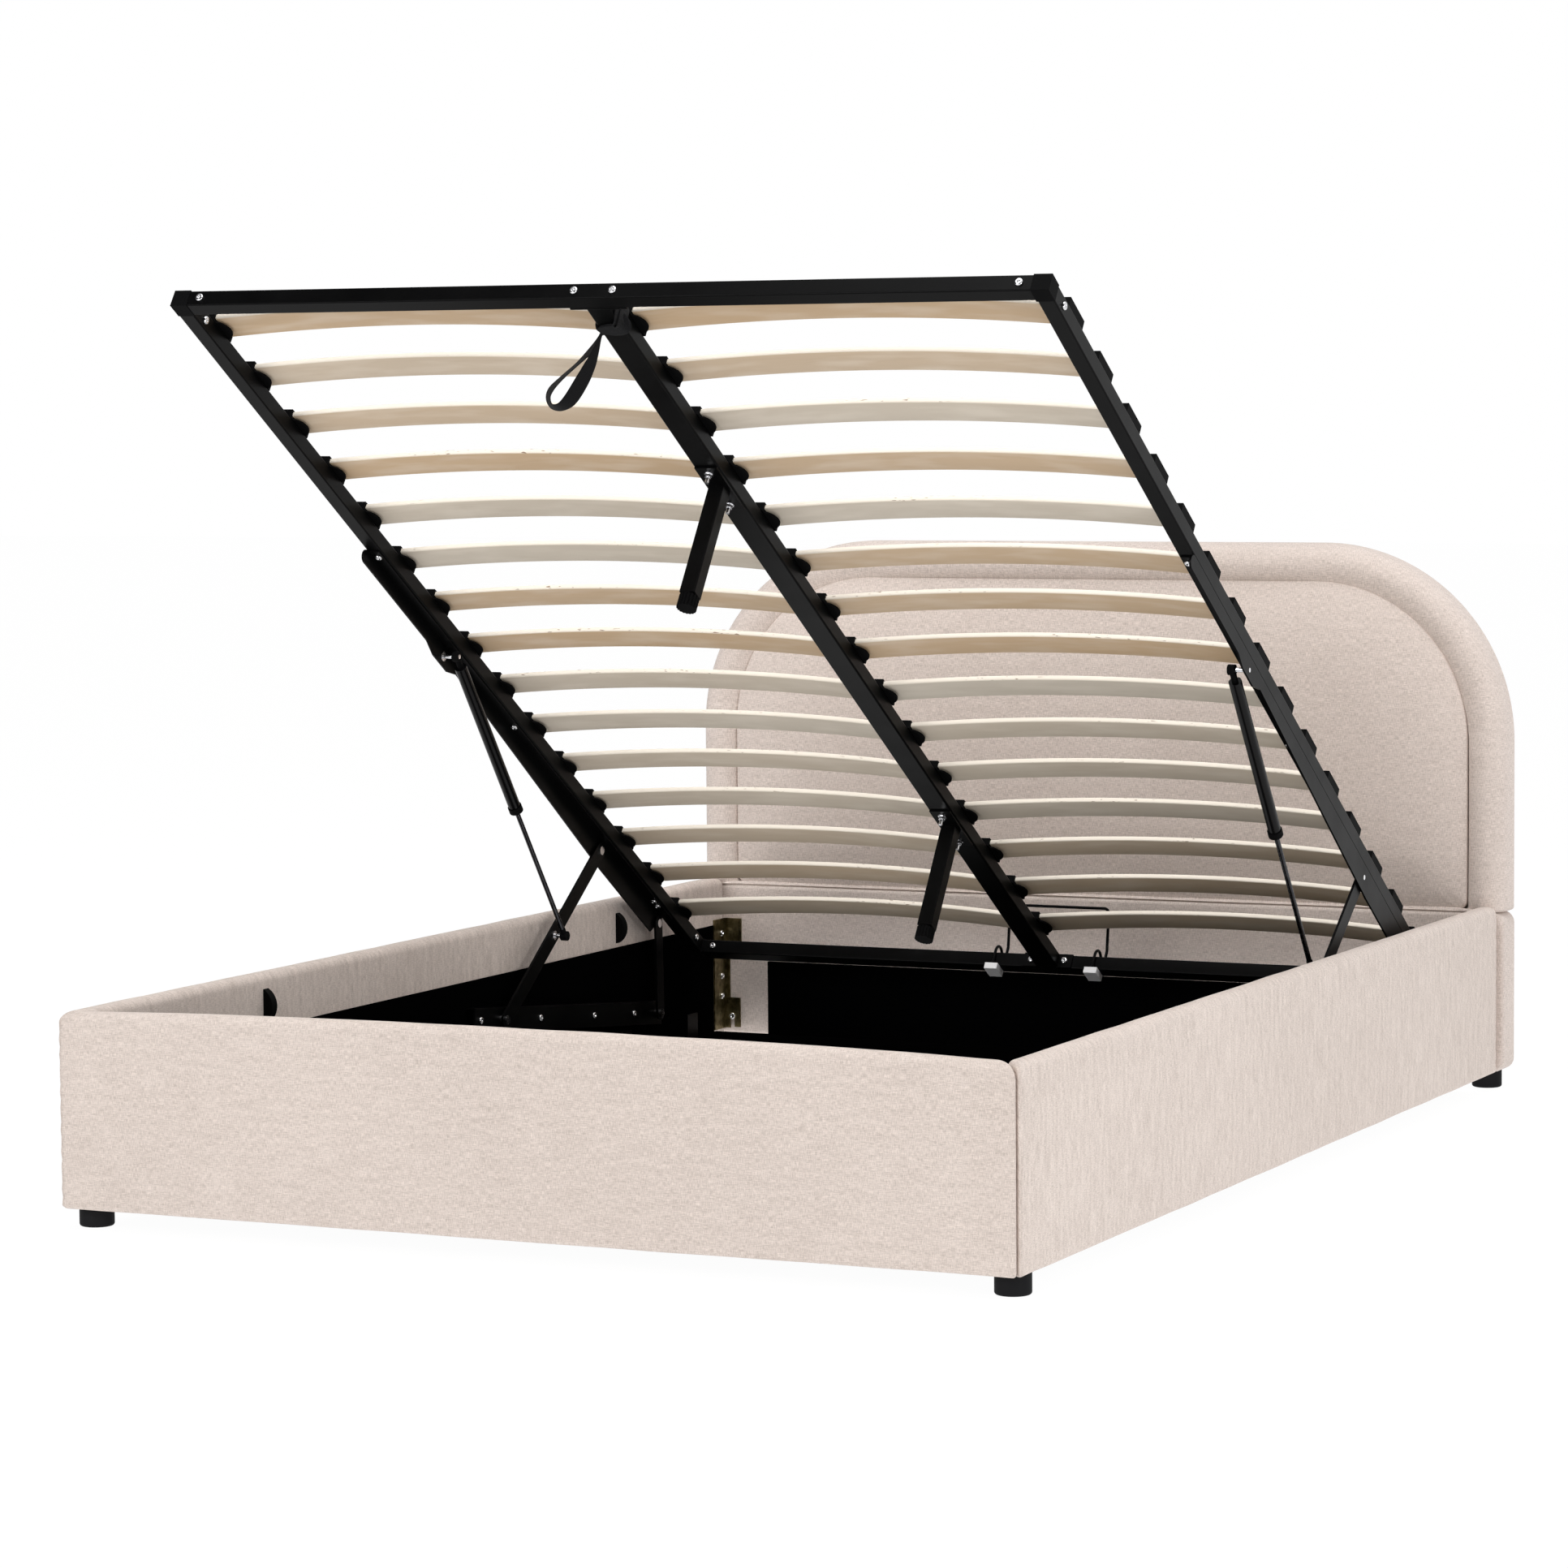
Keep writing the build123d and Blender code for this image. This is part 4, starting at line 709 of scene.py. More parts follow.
@dataclass
class BoxPanel:
    """One padded panel of the box: a board with rounded edges wrapped in cloth.

    Places are given by a, the distance along the panel, b, the depth in from its outer face, and z.
    The section is a rounded rectangle, carried along the panel and drawn in at its ends. The side is -1
    for the left rail, 1 for the right one and 0 for the foot board, which runs across the bed.
    """

    node: str
    start: float
    end: float
    finish: Finish
    seed: int
    side: int = 0
    mitre_start: bool = True
    mitre_end: bool = False
    rise: float = 0.0
    crown: float = 0.0022
    softness: float = 0.0007
    pucker: float = 0.0005
    pucker_wave: float = 0.027
    edge_round: float = 0.0135
    low_round: float = 0.005
    end_round: float = 0.009
    corner_round: float = 0.017
    step: float = 0.012
    clearance: float = 0.0007
    mitre_reach: float = 0.2
    closing_shares: Triple = (0.0, 0.34, 0.67)

    def stations(self) -> tuple[np.ndarray, np.ndarray]:
        """Places along the panel, close together at its rounded ends.

        Returns:
            The places, and how much of the depth is left at each, down to nought at the closing rows.
        """
        reach = self.corner_round * (1.0 - np.cos(np.linspace(0.0, math.pi / 2.0, 9)))
        middle = spaced(self.start + self.corner_round, self.end - self.corner_round, self.step)[1:]
        places = np.concatenate([self.start + reach, middle, (self.end - reach)[::-1]])
        depth = np.concatenate([self.closing_shares, np.ones(len(places)), self.closing_shares[::-1]])
        places = np.pad(places, len(self.closing_shares), mode="edge")
        return places[:, None], depth[:, None]

    def section(self, places: np.ndarray, depth: np.ndarray) -> tuple[np.ndarray, ...]:
        """Rounded rectangle at each place, starting at the foot of the outer face and going up it.

        Args:
            places: Distances along the panel.
            depth: Share of the depth that is left at each.

        Returns:
            Depth b, height z, the outward direction of both, and a mask that is one on the outer face.
        """
        from_end = np.minimum(places - self.start, self.end - places)
        share = (places - self.start) / (self.end - self.start)
        arch = self.rise * (1.0 - np.abs(2.0 * share - 1.0) ** 2.6)
        half = (RAIL_DEPTH / 2.0 - end_inset(from_end, self.end_round)) * depth
        low = RAIL_LOW + end_inset(from_end, self.low_round)
        high = RAIL_HIGH + arch - end_inset(from_end, self.corner_round)
        over = np.minimum(self.edge_round, half * 0.98)
        under = np.minimum(self.low_round, half * 0.98)
        up_from, up_to = low + under, high - over
        faces = np.linspace(0.0, 1.0, 24, endpoint=False)[None, :]
        flat = np.linspace(-1.0, 1.0, 3, endpoint=False)[None, :]
        arc = np.linspace(0.0, math.pi / 2.0, 7, endpoint=False)[None, :]
        cos, sin = np.cos(arc), np.sin(arc)
        b, z, out_b, out_z = joined(
            [
                (-half, up_from + (up_to - up_from) * faces, -1.0, 0.0),
                (-half + over * (1.0 - cos), up_to + over * sin, -cos, sin),
                ((half - over) * flat, high, 0.0, 1.0),
                (half - over * (1.0 - sin), up_to + over * cos, sin, cos),
                (half, up_to + (up_from - up_to) * faces, 1.0, 0.0),
                (half - under * (1.0 - cos), up_from - under * sin, cos, -sin),
                ((under - half) * flat, low, 0.0, -1.0),
                (-half + under * (1.0 - sin), up_from - under * cos, -sin, -cos),
            ]
        )
        return b + RAIL_DEPTH / 2.0, z, out_b, out_z, (out_b < -0.5).astype(float)

    def surface(self) -> tuple[np.ndarray, np.ndarray]:
        """The wrapped panel.

        The outer face swells by the crown times a flat-topped curve, the cloth wavers by the softness,
        and close to its ends it puckers in short waves. A mitred end follows the depth.

        Returns:
            Grid of points and grid of texture places.
        """
        places, depth = self.stations()
        b, z, out_b, out_z, outer = self.section(places, depth)
        from_start, to_end = places - self.start, self.end - places
        from_end = np.minimum(from_start, to_end)
        share_up = (z - RAIL_LOW) / (RAIL_HIGH - RAIL_LOW)
        share_along = from_start / (self.end - self.start)
        dome = (1.0 - np.abs(2.0 * share_up - 1.0) ** 3.0) * (1.0 - np.abs(2.0 * share_along - 1.0) ** 14.0)
        swell = self.crown * np.clip(dome, 0.0, 1.0) * outer
        waver = self.softness * ripple(places, z, self.seed, 0.16) * smooth_step(from_end, 0.004, 0.05)
        waves = z * 2.0 * math.pi / self.pucker_wave + ripple(z, z * 0.0, self.seed + 5, 0.09) * 3.0
        near_end = (1.0 - smooth_step(from_end, 0.006, 0.045)) * smooth_step(from_end, 0.0, 0.006)
        push = (swell + waver + self.pucker * np.sin(waves) * near_end) * depth
        b, z = b + out_b * push, z + out_z * push
        fade_start = 1.0 - smooth_step(from_start, 0.0, self.mitre_reach)
        fade_end = 1.0 - smooth_step(to_end, 0.0, self.mitre_reach)
        a = places + (b + self.clearance) * (fade_start * self.mitre_start - fade_end * self.mitre_end)
        x, y = (self.side * (HALF_WIDTH - b), a) if self.side else (a, FOOT_FACE + b)
        points = np.stack([x, y, z], axis=-1)
        round_way = travelled(np.concatenate([points, points[:, :1]], axis=1), 1)
        length_way = np.broadcast_to(places, round_way.shape)
        return points, np.stack([length_way, round_way], axis=-1)

    def build(self) -> bpy.types.Object:
        """Makes the panel and ties it to the base."""
        shell = Shell()
        shell.grid(*self.surface())
        piece = shell.piece(f"{self.node}_cover", self.finish)
        return settle_piece(piece, Body.BASE, (self.node,))


# Headboard


@dataclass
class Arch:
    """Closed outline of the headboard from the front: a rectangle with two large upper corners."""

    half: float
    low: float
    high: float
    corner: float
    foot: float = 0.006
    least_corner: float = 0.02

    def loop(self, inset: np.ndarray, foot_share: float) -> np.ndarray:
        """Outline drawn in by an inset, from the middle of its foot to the right and round.

        Args:
            inset: One value for each outline.
            foot_share: Share of the inset that the bottom edge takes.

        Returns:
            Points as outlines by places by 2.
        """
        inset = inset[:, None]
        half = self.half - inset
        low = self.low + inset * foot_share
        high = self.high - inset
        corner = np.maximum(self.corner - inset, self.least_corner)
        foot = self.foot
        run = np.linspace(0.0, 1.0, 66, endpoint=False)[None, :]
        side = np.linspace(0.0, 1.0, 26, endpoint=False)[None, :]
        bend = np.linspace(0.0, math.pi / 2.0, 44, endpoint=False)[None, :]
        turn = np.linspace(0.0, math.pi / 2.0, 5, endpoint=False)[None, :]
        x, z = joined(
            [
                ((half - foot) * run, low),
                (half - foot + foot * np.sin(turn), low + foot - foot * np.cos(turn)),
                (half, low + foot + (high - corner - low - foot) * side),
                (half - corner + corner * np.cos(bend), high - corner + corner * np.sin(bend)),
                ((half - corner) * (1.0 - run), high),
            ]
        )
        left_x = -np.concatenate([x[:, 1:], np.zeros_like(high)], axis=1)[:, ::-1]
        left_z = np.concatenate([z[:, 1:], high], axis=1)[:, ::-1]
        return np.stack([np.hstack([x, left_x]), np.hstack([z, left_z])], axis=-1)


def quarter(radius: float, steps: int = 8) -> tuple[np.ndarray, np.ndarray]:
    """Sine and cosine steps of a quarter turn of that radius."""
    angles = np.linspace(0.0, math.pi / 2.0, steps)
    return radius * np.sin(angles), radius * np.cos(angles)


@dataclass
class Headboard:
    """Arched headboard: a plump border round a shallow inner pad, over a plain lower panel.

    Each part's profile is a list of rows: the inset from the outline, the depth behind the headboard's
    front plane, the share of the waver and the closing share, which is one where the surface ends.
    """

    half_width: float = 0.7455
    top: float = 0.914
    corner: float = 0.332
    thickness: float = 0.065
    clearance: float = 0.0006
    outer_round: float = 0.028
    back_round: float = 0.008
    peak: float = -0.003
    foot_share: float = 0.02
    floor_reach: float = 0.03
    floor_depth: float = 0.034
    seam_depth: float = 0.010
    seam_roll: float = 0.006
    pad_half: float = 0.6785
    pad_low: float = 0.3005
    pad_top: float = 0.8505
    pad_corner: float = 0.265
    pad_foot: float = 0.016
    pad_back: float = 0.031
    pad_edge: float = 0.003
    pad_sink: float = 0.004
    pad_insets: tuple[float, ...] = (
        *(0.24, 0.20, 0.16, 0.13, 0.105, 0.085, 0.068),
        *(0.054, 0.042, 0.032, 0.024, 0.017, 0.011, 0.007),
    )
    crown: float = 0.014
    crown_reach: float = 0.15
    panel_half: float = 0.7458
    panel_gap: float = 0.0008
    panel_corner: float = 0.009
    panel_foot: float = 0.018
    panel_round: float = 0.007
    panel_insets: Triple = (0.09, 0.05, 0.02)
    back_inset: float = 0.05
    waver: float = 0.0011
    border_closing_shares: tuple[float, ...] = (0.0, 0.35, 0.7, 1.0)
    closing_shares: tuple[float, ...] = (0.0, 0.33, 0.66, 1.0)
    swelling: Inflation = Inflation()

    def ring_surface(
        self, arch: Arch, profile: np.ndarray, seed: int, foot_share: float
    ) -> tuple[np.ndarray, np.ndarray]:
        """Carries a profile of insets and depths round an arch, and closes it front and back.

        Each point is paired with the one above or below it across the outline. A closing share moves
        both toward the middle between them, and at one they meet, so that the outline lies folded flat.

        Args:
            arch: The outline.
            profile: Rows of inset, depth, waver share and closing share.
            seed: Seed of the waver.
            foot_share: Share of an inset that the bottom edge takes.

        Returns:
            Grid of points and grid of texture places.
        """
        inset, depth, waver_share, closing = (profile[:, k : k + 1] for k in range(4))
        outlines = arch.loop(profile[:, 0], foot_share)
        x, z = outlines[..., 0], outlines[..., 1]
        partner = (x.shape[1] // 2 - np.arange(x.shape[1])) % x.shape[1]
        x = x * (1.0 - closing / 2.0) + x[:, partner] * (closing / 2.0)
        z = z * (1.0 - closing / 2.0) + z[:, partner] * (closing / 2.0)
        y = depth * np.ones_like(x)
        waver = self.waver * ripple(x, z, seed, 0.22) * waver_share
        points = np.stack([x, HEAD_FACE + y - waver, z], axis=-1)
        run = np.roll(outlines, -1, axis=1) - np.roll(outlines, 1, axis=1)
        run = run / np.maximum(np.linalg.norm(run, axis=-1, keepdims=True), 1e-9)
        folded = y * np.clip(1.1 - inset / 0.1, 0.0, 1.0) * (1.0 - closing)
        uv = np.stack([x + run[..., 1] * folded, z - run[..., 0] * folded], axis=-1)
        return points, np.concatenate([uv, uv[:, :1]], axis=1)

    def cover(
        self, node: str, arch: Arch, profile: list[tuple[float, ...]], seed: int, foot_share: float
    ) -> bpy.types.Object:
        """Makes the piece over one node from its outline and its profile.

        Args:
            node: The node that it will stand for.
            arch: The outline.
            profile: Rows of inset, depth, waver share and closing share.
            seed: Seed of the waver.
            foot_share: Share of an inset that the bottom edge takes.

        Returns:
            The piece.
        """
        shell = Shell()
        shell.grid(*self.ring_surface(arch, np.array(profile), seed, foot_share))
        # Every headboard piece takes the paler copy of the cloth, which paints light onto the headboard.
        return shell.piece(f"{node}_cover", HEAD_CLOTH_PAINTED_LIGHT)

    def border(self) -> bpy.types.Object:
        """The border: its profile climbs out of the seam, swells to a peak and rolls over its outer edge.

        Returns:
            The piece.
        """
        arch = Arch(self.half_width, SEAM_HEIGHT + self.clearance, self.top, self.corner)
        band = self.half_width - self.pad_half
        lip = band - self.seam_roll
        bead = self.seam_depth + self.seam_roll
        fall = self.outer_round * 1.15
        edge = self.peak + fall
        rear = self.thickness - self.back_round
        floor = self.floor_depth
        profile = [(band + self.floor_reach, floor, 0.0, c) for c in self.border_closing_shares[::-1]]
        profile += [(band, floor, 0.0, 0.0), (band, bead + 0.001, 0.0, 0.0)]
        profile += [(lip + c, bead - s, 0.0, 0.0) for s, c in zip(*quarter(self.seam_roll, 6))]
        for t in np.linspace(1.0, 0.0, 14)[1:]:
            depth = self.peak + (self.seam_depth - self.peak) * t**2.1
            profile.append((self.outer_round + (lip - self.outer_round) * t, depth, 1.0 - t, 0.0))
        for angle in np.linspace(0.0, math.pi / 2.0, 16)[1:]:
            depth = self.peak + fall * (1.0 - math.cos(angle))
            profile.append((self.outer_round * (1.0 - math.sin(angle)), depth, 0.4, 0.0))
        profile += [(0.0, edge + (rear - edge) * t, 0.2, 0.0) for t in (0.33, 0.66)]
        profile += [(self.back_round - c, rear + s, 0.0, 0.0) for s, c in zip(*quarter(self.back_round))]
        profile += [(self.back_inset, self.thickness, 0.0, c) for c in self.border_closing_shares]
        piece = self.cover("headboard_border", arch, profile, 21, self.foot_share)
        self.swelling.apply(piece, HEAD_FACE + 0.02)
        return settle_piece(piece, Body.BASE, ("headboard_border",))

    def pad(self) -> bpy.types.Object:
        """The inner pad: a plump panel whose front crowns and whose edges roll under.

        Returns:
            The piece.
        """
        half = self.pad_half - self.clearance
        arch = Arch(half, self.pad_low, self.pad_top, self.pad_corner, self.pad_foot)
        roll, back, rim = self.seam_roll, self.pad_back, self.pad_edge
        edge_depth = self.seam_depth - self.pad_sink
        insets = np.array(self.pad_insets)
        falling = np.clip(1.0 - (insets - roll) / self.crown_reach, 0.0, 1.0) ** 2.2
        depths = edge_depth - self.crown * (1.0 - falling)
        profile = [(insets[0], depths[0], 1.0, c) for c in self.closing_shares[::-1]]
        profile += [(inset, depth, 1.0, 0.0) for inset, depth in zip(insets[1:], depths[1:])]
        profile += [(roll - s, edge_depth + roll - c, 0.3, 0.0) for s, c in zip(*quarter(roll))]
        profile += [(0.0, back - rim, 0.0, 0.0), (rim, back, 0.0, 0.0)]
        profile += [(self.back_inset, back, 0.0, c) for c in self.closing_shares]
        piece = self.cover("headboard_pad", arch, profile, 33, 0.9)
        self.swelling.apply(piece, HEAD_FACE + 0.008)
        return settle_piece(piece, Body.BASE, ("headboard_pad",))

    def lower_panel(self) -> bpy.types.Object:
        """The lower panel: a wide rectangle with softly rounded edges all round.

        Returns:
            The piece.
        """
        high = SEAM_HEIGHT - self.panel_gap
        arch = Arch(self.panel_half, RAIL_LOW, high, self.panel_corner, self.panel_foot)
        soft, rear = self.panel_round, self.thickness - self.panel_round
        profile = [(self.panel_insets[0], 0.0, 1.0, c) for c in self.closing_shares[::-1]]
        profile += [(inset, 0.0, 1.0, 0.0) for inset in self.panel_insets[1:]]
        profile += [(soft - s, soft - c, 0.2, 0.0) for s, c in zip(*quarter(soft))]
        profile += [(soft - c, rear + s, 0.0, 0.0) for s, c in zip(*quarter(soft))]
        profile += [(self.back_inset, self.thickness, 0.0, c) for c in self.closing_shares]
        piece = self.cover("headboard_base", arch, profile, 47, 1.0)
        return settle_piece(piece, Body.BASE, ("headboard_base",))


# Deck


@dataclass(frozen=True)
class DeckFrame:
    """Carries deck places into the bed's frame: x across, t from the foot end, n above the tubes."""

    tilt: float = math.radians(33.75)
    length: float = 2.021
    head_gap: float = 0.15734
    head_z: float = 0.20409

    @property
    def foot_y(self) -> float:
        """How far along the bed the deck's foot end lies."""
        return HEAD_FACE - self.head_gap - self.length * math.cos(self.tilt)

    @property
    def foot_z(self) -> float:
        """How high the deck's foot end lies."""
        return self.head_z + self.length * math.sin(self.tilt)

    def point(self, x: object, t: object, n: object) -> np.ndarray:
        """World places of deck places, as an array whose last axis is 3."""
        x, t, n = np.broadcast_arrays(np.asarray(x, float), np.asarray(t, float), np.asarray(n, float))
        y = self.foot_y + t * math.cos(self.tilt) + n * math.sin(self.tilt)
        z = self.foot_z - t * math.sin(self.tilt) + n * math.cos(self.tilt)
        return np.stack([x, y, z], axis=-1)

    @property
    def along(self) -> np.ndarray:
        """Unit direction from the deck's foot end to its head end."""
        return np.array([0.0, math.cos(self.tilt), -math.sin(self.tilt)])

    @property
    def up(self) -> np.ndarray:
        """Unit direction square to the deck, away from its underside."""
        return np.array([0.0, math.sin(self.tilt), math.cos(self.tilt)])


@dataclass
class Slats:
    """Sprung birch laths: a rounded section carried along a shallow arc on each side of the beam."""

    frame: DeckFrame
    rows: int = 15
    first: float = 0.102
    pitch: float = 0.1281
    width: float = 0.050
    thickness: float = 0.008
    lift: float = 0.0035
    rise: float = 0.018
    inner: float = 0.006
    outer: float = 0.669
    edge_round: float = 0.0026
    left_tones: tuple[float, ...] = (
        *(0.0, 0.55, 0.3, 0.0, 0.9, 0.95, 0.1, 0.0),
        *(0.85, 0.95, 0.8, 0.85, 0.6, 0.4, 0.6),
    )
    right_tones: tuple[float, ...] = (
        *(0.0, 0.35, 0.9, 0.1, 0.95, 0.1, 0.1, 0.0),
        *(1.0, 0.85, 0.85, 0.9, 0.5, 0.35, 0.45),
    )

    def section(self) -> tuple[np.ndarray, np.ndarray, np.ndarray]:
        """Rounded rectangle of the lath.

        Returns:
            Places along the deck, heights, and a mask that is one on the two narrow edges.
        """
        arc = np.linspace(0.0, math.pi / 2.0, 5)
        half_t, half_n, r = self.width / 2.0, self.thickness / 2.0, self.edge_round
        quarters = []
        for turn, (sign_t, sign_n) in enumerate(((1, 1), (-1, 1), (-1, -1), (1, -1))):
            angle = arc + turn * math.pi / 2.0
            t, n = r * np.cos(angle), r * np.sin(angle)
            quarters.append((sign_t * (half_t - r) + t, sign_n * (half_n - r) + n))
        t = np.concatenate([q[0] for q in quarters])
        n = np.concatenate([q[1] for q in quarters])
        edge = smooth_step(np.abs(t), half_t - r, half_t - r * 0.35)
        return t, n, edge

    def lath(self, side: int, row: int) -> tuple[np.ndarray, np.ndarray, np.ndarray]:
        """One lath on one side.

        Args:
            side: -1 for the left, 1 for the right.
            row: Its number from the foot end.

        Returns:
            Points, texture places and marks.
        """
        chord = self.outer - self.inner
        radius = (chord * chord / 4.0 + self.rise * self.rise) / (2.0 * self.rise)
        reach = math.asin(chord / 2.0 / radius)
        angles = np.concatenate([[-reach], np.linspace(-reach, reach, 41), [reach]])
        scale = np.ones((len(angles), 1))
        scale[0] = scale[-1] = 0.0
        x = (self.inner + self.outer) / 2.0 + radius * np.sin(angles)
        lift = self.lift + self.thickness / 2.0 + radius * np.cos(angles) - (radius - self.rise)
        t, n, edge = self.section()
        place = self.first + self.pitch * row
        points = self.frame.point(side * x[:, None], place + t * scale, lift[:, None] + n * scale)
        loop_t, loop_n = np.append(t, t[0]), np.append(n, n[0])
        round_way = np.concatenate([[0.0], np.cumsum(np.hypot(np.diff(loop_t), np.diff(loop_n)))])
        chance = np.random.default_rng(100 * row + side + 1)
        offset = chance.uniform(0.0, 40.0, 2)
        u = np.broadcast_to(x[:, None] + offset[0], (len(x), len(round_way)))
        v = np.broadcast_to(round_way[None, :] + round(offset[1], 1), u.shape)
        masks = np.broadcast_to(edge[None, :], points.shape[:2])
        tone = (self.left_tones if side < 0 else self.right_tones)[row]
        return points, np.stack([u, v], axis=-1), np.stack([masks, np.full_like(masks, tone)], axis=-1)

    def build(self) -> list[bpy.types.Object]:
        """Makes the two rows of laths, one piece for each side."""
        made = []
        for side, name in ((-1, "left_slats"), (1, "right_slats")):
            shell = Shell("grain")
            for row in range(self.rows):
                shell.grid(*self.lath(side, row))
            piece = shell.piece(f"{name}_laths", BIRCH, "lath_marks")
            made.append(settle_piece(piece, Body.DECK, (name,)))
        return made


# Pull strap


def unit(vectors: np.ndarray) -> np.ndarray:
    """The vectors of the last axis, each scaled to a length of one."""
    return vectors / np.linalg.norm(vectors, axis=-1, keepdims=True)


def resampled(points: np.ndarray, count: int) -> np.ndarray:
    """A smooth run of points through the given ones, evenly spaced along the way.

    Args:
        points: Control values, the first three of each row being its place.
        count: How many rows to return.

    Returns:
        Rows of the same width, from a Catmull-Rom spline.
    """
    padded = np.concatenate([2.0 * points[:1] - points[1:2], points, 2.0 * points[-1:] - points[-2:-1]])
    t = np.linspace(0.0, 1.0, 24, endpoint=False)[None, :, None]
    a, b, c, d = (padded[k : len(padded) - 3 + k][:, None, :] for k in range(4))
    curved = (2.0 * a - 5.0 * b + 4.0 * c - d) * t**2 + (3.0 * (b - c) + d - a) * t**3
    run = 0.5 * (2.0 * b + (c - a) * t + curved)
    fine = np.concatenate([run.reshape(-1, points.shape[1]), points[-1:]])
    way = np.concatenate([[0.0], np.cumsum(np.linalg.norm(np.diff(fine[:, :3], axis=0), axis=1))])
    places = np.linspace(0.0, way[-1], count)
    return np.stack([np.interp(places, way, column) for column in fine.T], axis=-1)


@dataclass
class PullStrap:
    """Webbing hitched round the beam just under the foot tube, with a hand loop that hangs to the left."""

    frame: DeckFrame
    width: float = 0.025
    thickness: float = 0.0017
    half_beam: float = 0.020
    tube: float = 0.025
    knot_t: float = 0.084
    right: Triple = (0.9053, 0.4249, 0.0)
    away: Triple = (-0.4249, 0.9053, 0.0)

    def ribbon(self, shell: Shell, path: np.ndarray, across: np.ndarray, width: np.ndarray) -> None:
        """Adds one length of webbing.

        Args:
            shell: The shell that it goes to.
            path: Its middle line, rows of 3.
            across: The direction of its width at each row, made square to the path here.
            width: Its width at each row.
        """
        tangent = unit(np.gradient(path, axis=0))
        across = unit(across - np.sum(across * tangent, axis=1, keepdims=True) * tangent)
        normal = np.cross(tangent, across)
        turns = np.linspace(0.0, 2.0 * math.pi, 28, endpoint=False)
        u = np.sign(np.cos(turns)) * np.abs(np.cos(turns)) ** 0.35
        v = np.sign(np.sin(turns)) * np.abs(np.sin(turns)) ** 0.8
        flat = np.ones(len(path))
        flat[0] = flat[-1] = 0.0
        spread = across[:, None, :] * (u[None, :, None] * width[:, None, None] / 2.0)
        body = normal[:, None, :] * (v[None, :, None] * self.thickness / 2.0)
        points = path[:, None, :] + (spread + body) * flat[:, None, None]
        way = np.concatenate([[0.0], np.cumsum(np.linalg.norm(np.diff(path, axis=0), axis=1))])
        side = np.append(u, u[0]) * self.width / 2.0
        uv = np.stack(np.broadcast_arrays(way[:, None], side[None, :]), axis=-1)
        shell.grid(points, uv)

    def loop_path(self) -> tuple[np.ndarray, np.ndarray, np.ndarray]:
        """The hand loop: a broad strand down the right, a fold at the bottom and a thin strand back up.

        Returns:
            Middle line, width direction and width at each row.
        """
        stations = np.array(
            [
                (0.0060, 0.0040, 0.000, 0.30, 0.45),
                (0.0020, -0.0040, -0.001, 0.35, 0.45),
                (-0.0041, -0.0231, -0.003, 0.60, 0.62),
                (-0.0120, -0.0423, -0.004, 0.80, 0.85),
                (-0.0245, -0.0661, -0.004, 0.88, 1.0),
                (-0.0403, -0.0905, -0.003, 0.85, 1.0),
                (-0.0539, -0.1010, 0.000, 0.50, 1.0),
                (-0.0664, -0.1000, 0.003, 0.28, 1.0),
                (-0.0715, -0.0888, 0.005, 0.30, 1.0),
                (-0.0675, -0.0763, 0.006, 0.34, 1.0),
                (-0.0528, -0.0610, 0.006, 0.24, 1.0),
                (-0.0290, -0.0401, 0.005, 0.22, 0.95),
                (-0.0109, -0.0220, 0.004, 0.45, 0.7),
                (0.0016, -0.0039, 0.003, 0.40, 0.45),
                (0.0060, 0.0060, 0.002, 0.35, 0.45),
            ]
        )
        knot = self.frame.point(-self.half_beam - 0.004, self.knot_t, -self.tube - 0.0025)
        right, away, above = np.array(self.right), np.array(self.away), np.array([0.0, 0.0, 1.0])
        places = knot + stations[:, :1] * right + stations[:, 1:2] * above + stations[:, 2:3] * away
        rows = resampled(np.concatenate([places, stations[:, 3:]], axis=1), 120)
        path, turn, share = rows[:, :3], rows[:, 3:4], rows[:, 4]
        facing = np.cross(unit(np.gradient(path, axis=0)), away)
        return path, away * np.cos(turn) + facing * np.sin(turn), self.width * share

    def hitch_path(self, lift: float, middle: float, sway: float) -> tuple[np.ndarray, ...]:
        """One turn of webbing round the beam that closes in on the knot.

        Args:
            lift: How far it stands off the beam.
            middle: Its middle distance from the deck's foot end.
            sway: How much nearer the knot's corner is than the corner across from it.

        Returns:
            Middle line, width direction and width at each row.
        """
        knot_turn, count = 1.25 * math.pi, 96
        turns = knot_turn + np.linspace(0.0, 2.0 * math.pi, count)
        half, deep = self.half_beam + lift, self.tube / 2.0 + lift
        x = half * np.sign(np.cos(turns)) * np.abs(np.cos(turns)) ** 0.3
        n = deep * np.sign(np.sin(turns)) * np.abs(np.sin(turns)) ** 0.3 - self.tube / 2.0
        near = np.cos(turns - knot_turn)
        t = middle + sway * near + 0.0008 * np.sin(turns * 5.0)
        path = resampled(self.frame.point(x, t, n), 110)
        narrow = 1.0 - 0.45 * np.clip(near, 0.0, 1.0) ** 6
        gather = np.interp(np.linspace(0.0, 1.0, len(path)), np.linspace(0.0, 1.0, count), narrow)
        return path, np.broadcast_to(self.frame.along, path.shape), self.width * gather

    def build(self) -> bpy.types.Object:
        """Makes the strap as one piece on the deck."""
        shell = Shell()
        self.ribbon(shell, *self.loop_path())
        self.ribbon(shell, *self.hitch_path(0.0014, 0.060, 0.020))
        self.ribbon(shell, *self.hitch_path(0.0034, 0.066, 0.013))
        piece = shell.piece("pull_strap_webbing", WEBBING)
        return settle_piece(piece, Body.DECK, ("pull_strap",))


# Fasteners


Seats = list[tuple[np.ndarray, np.ndarray]]


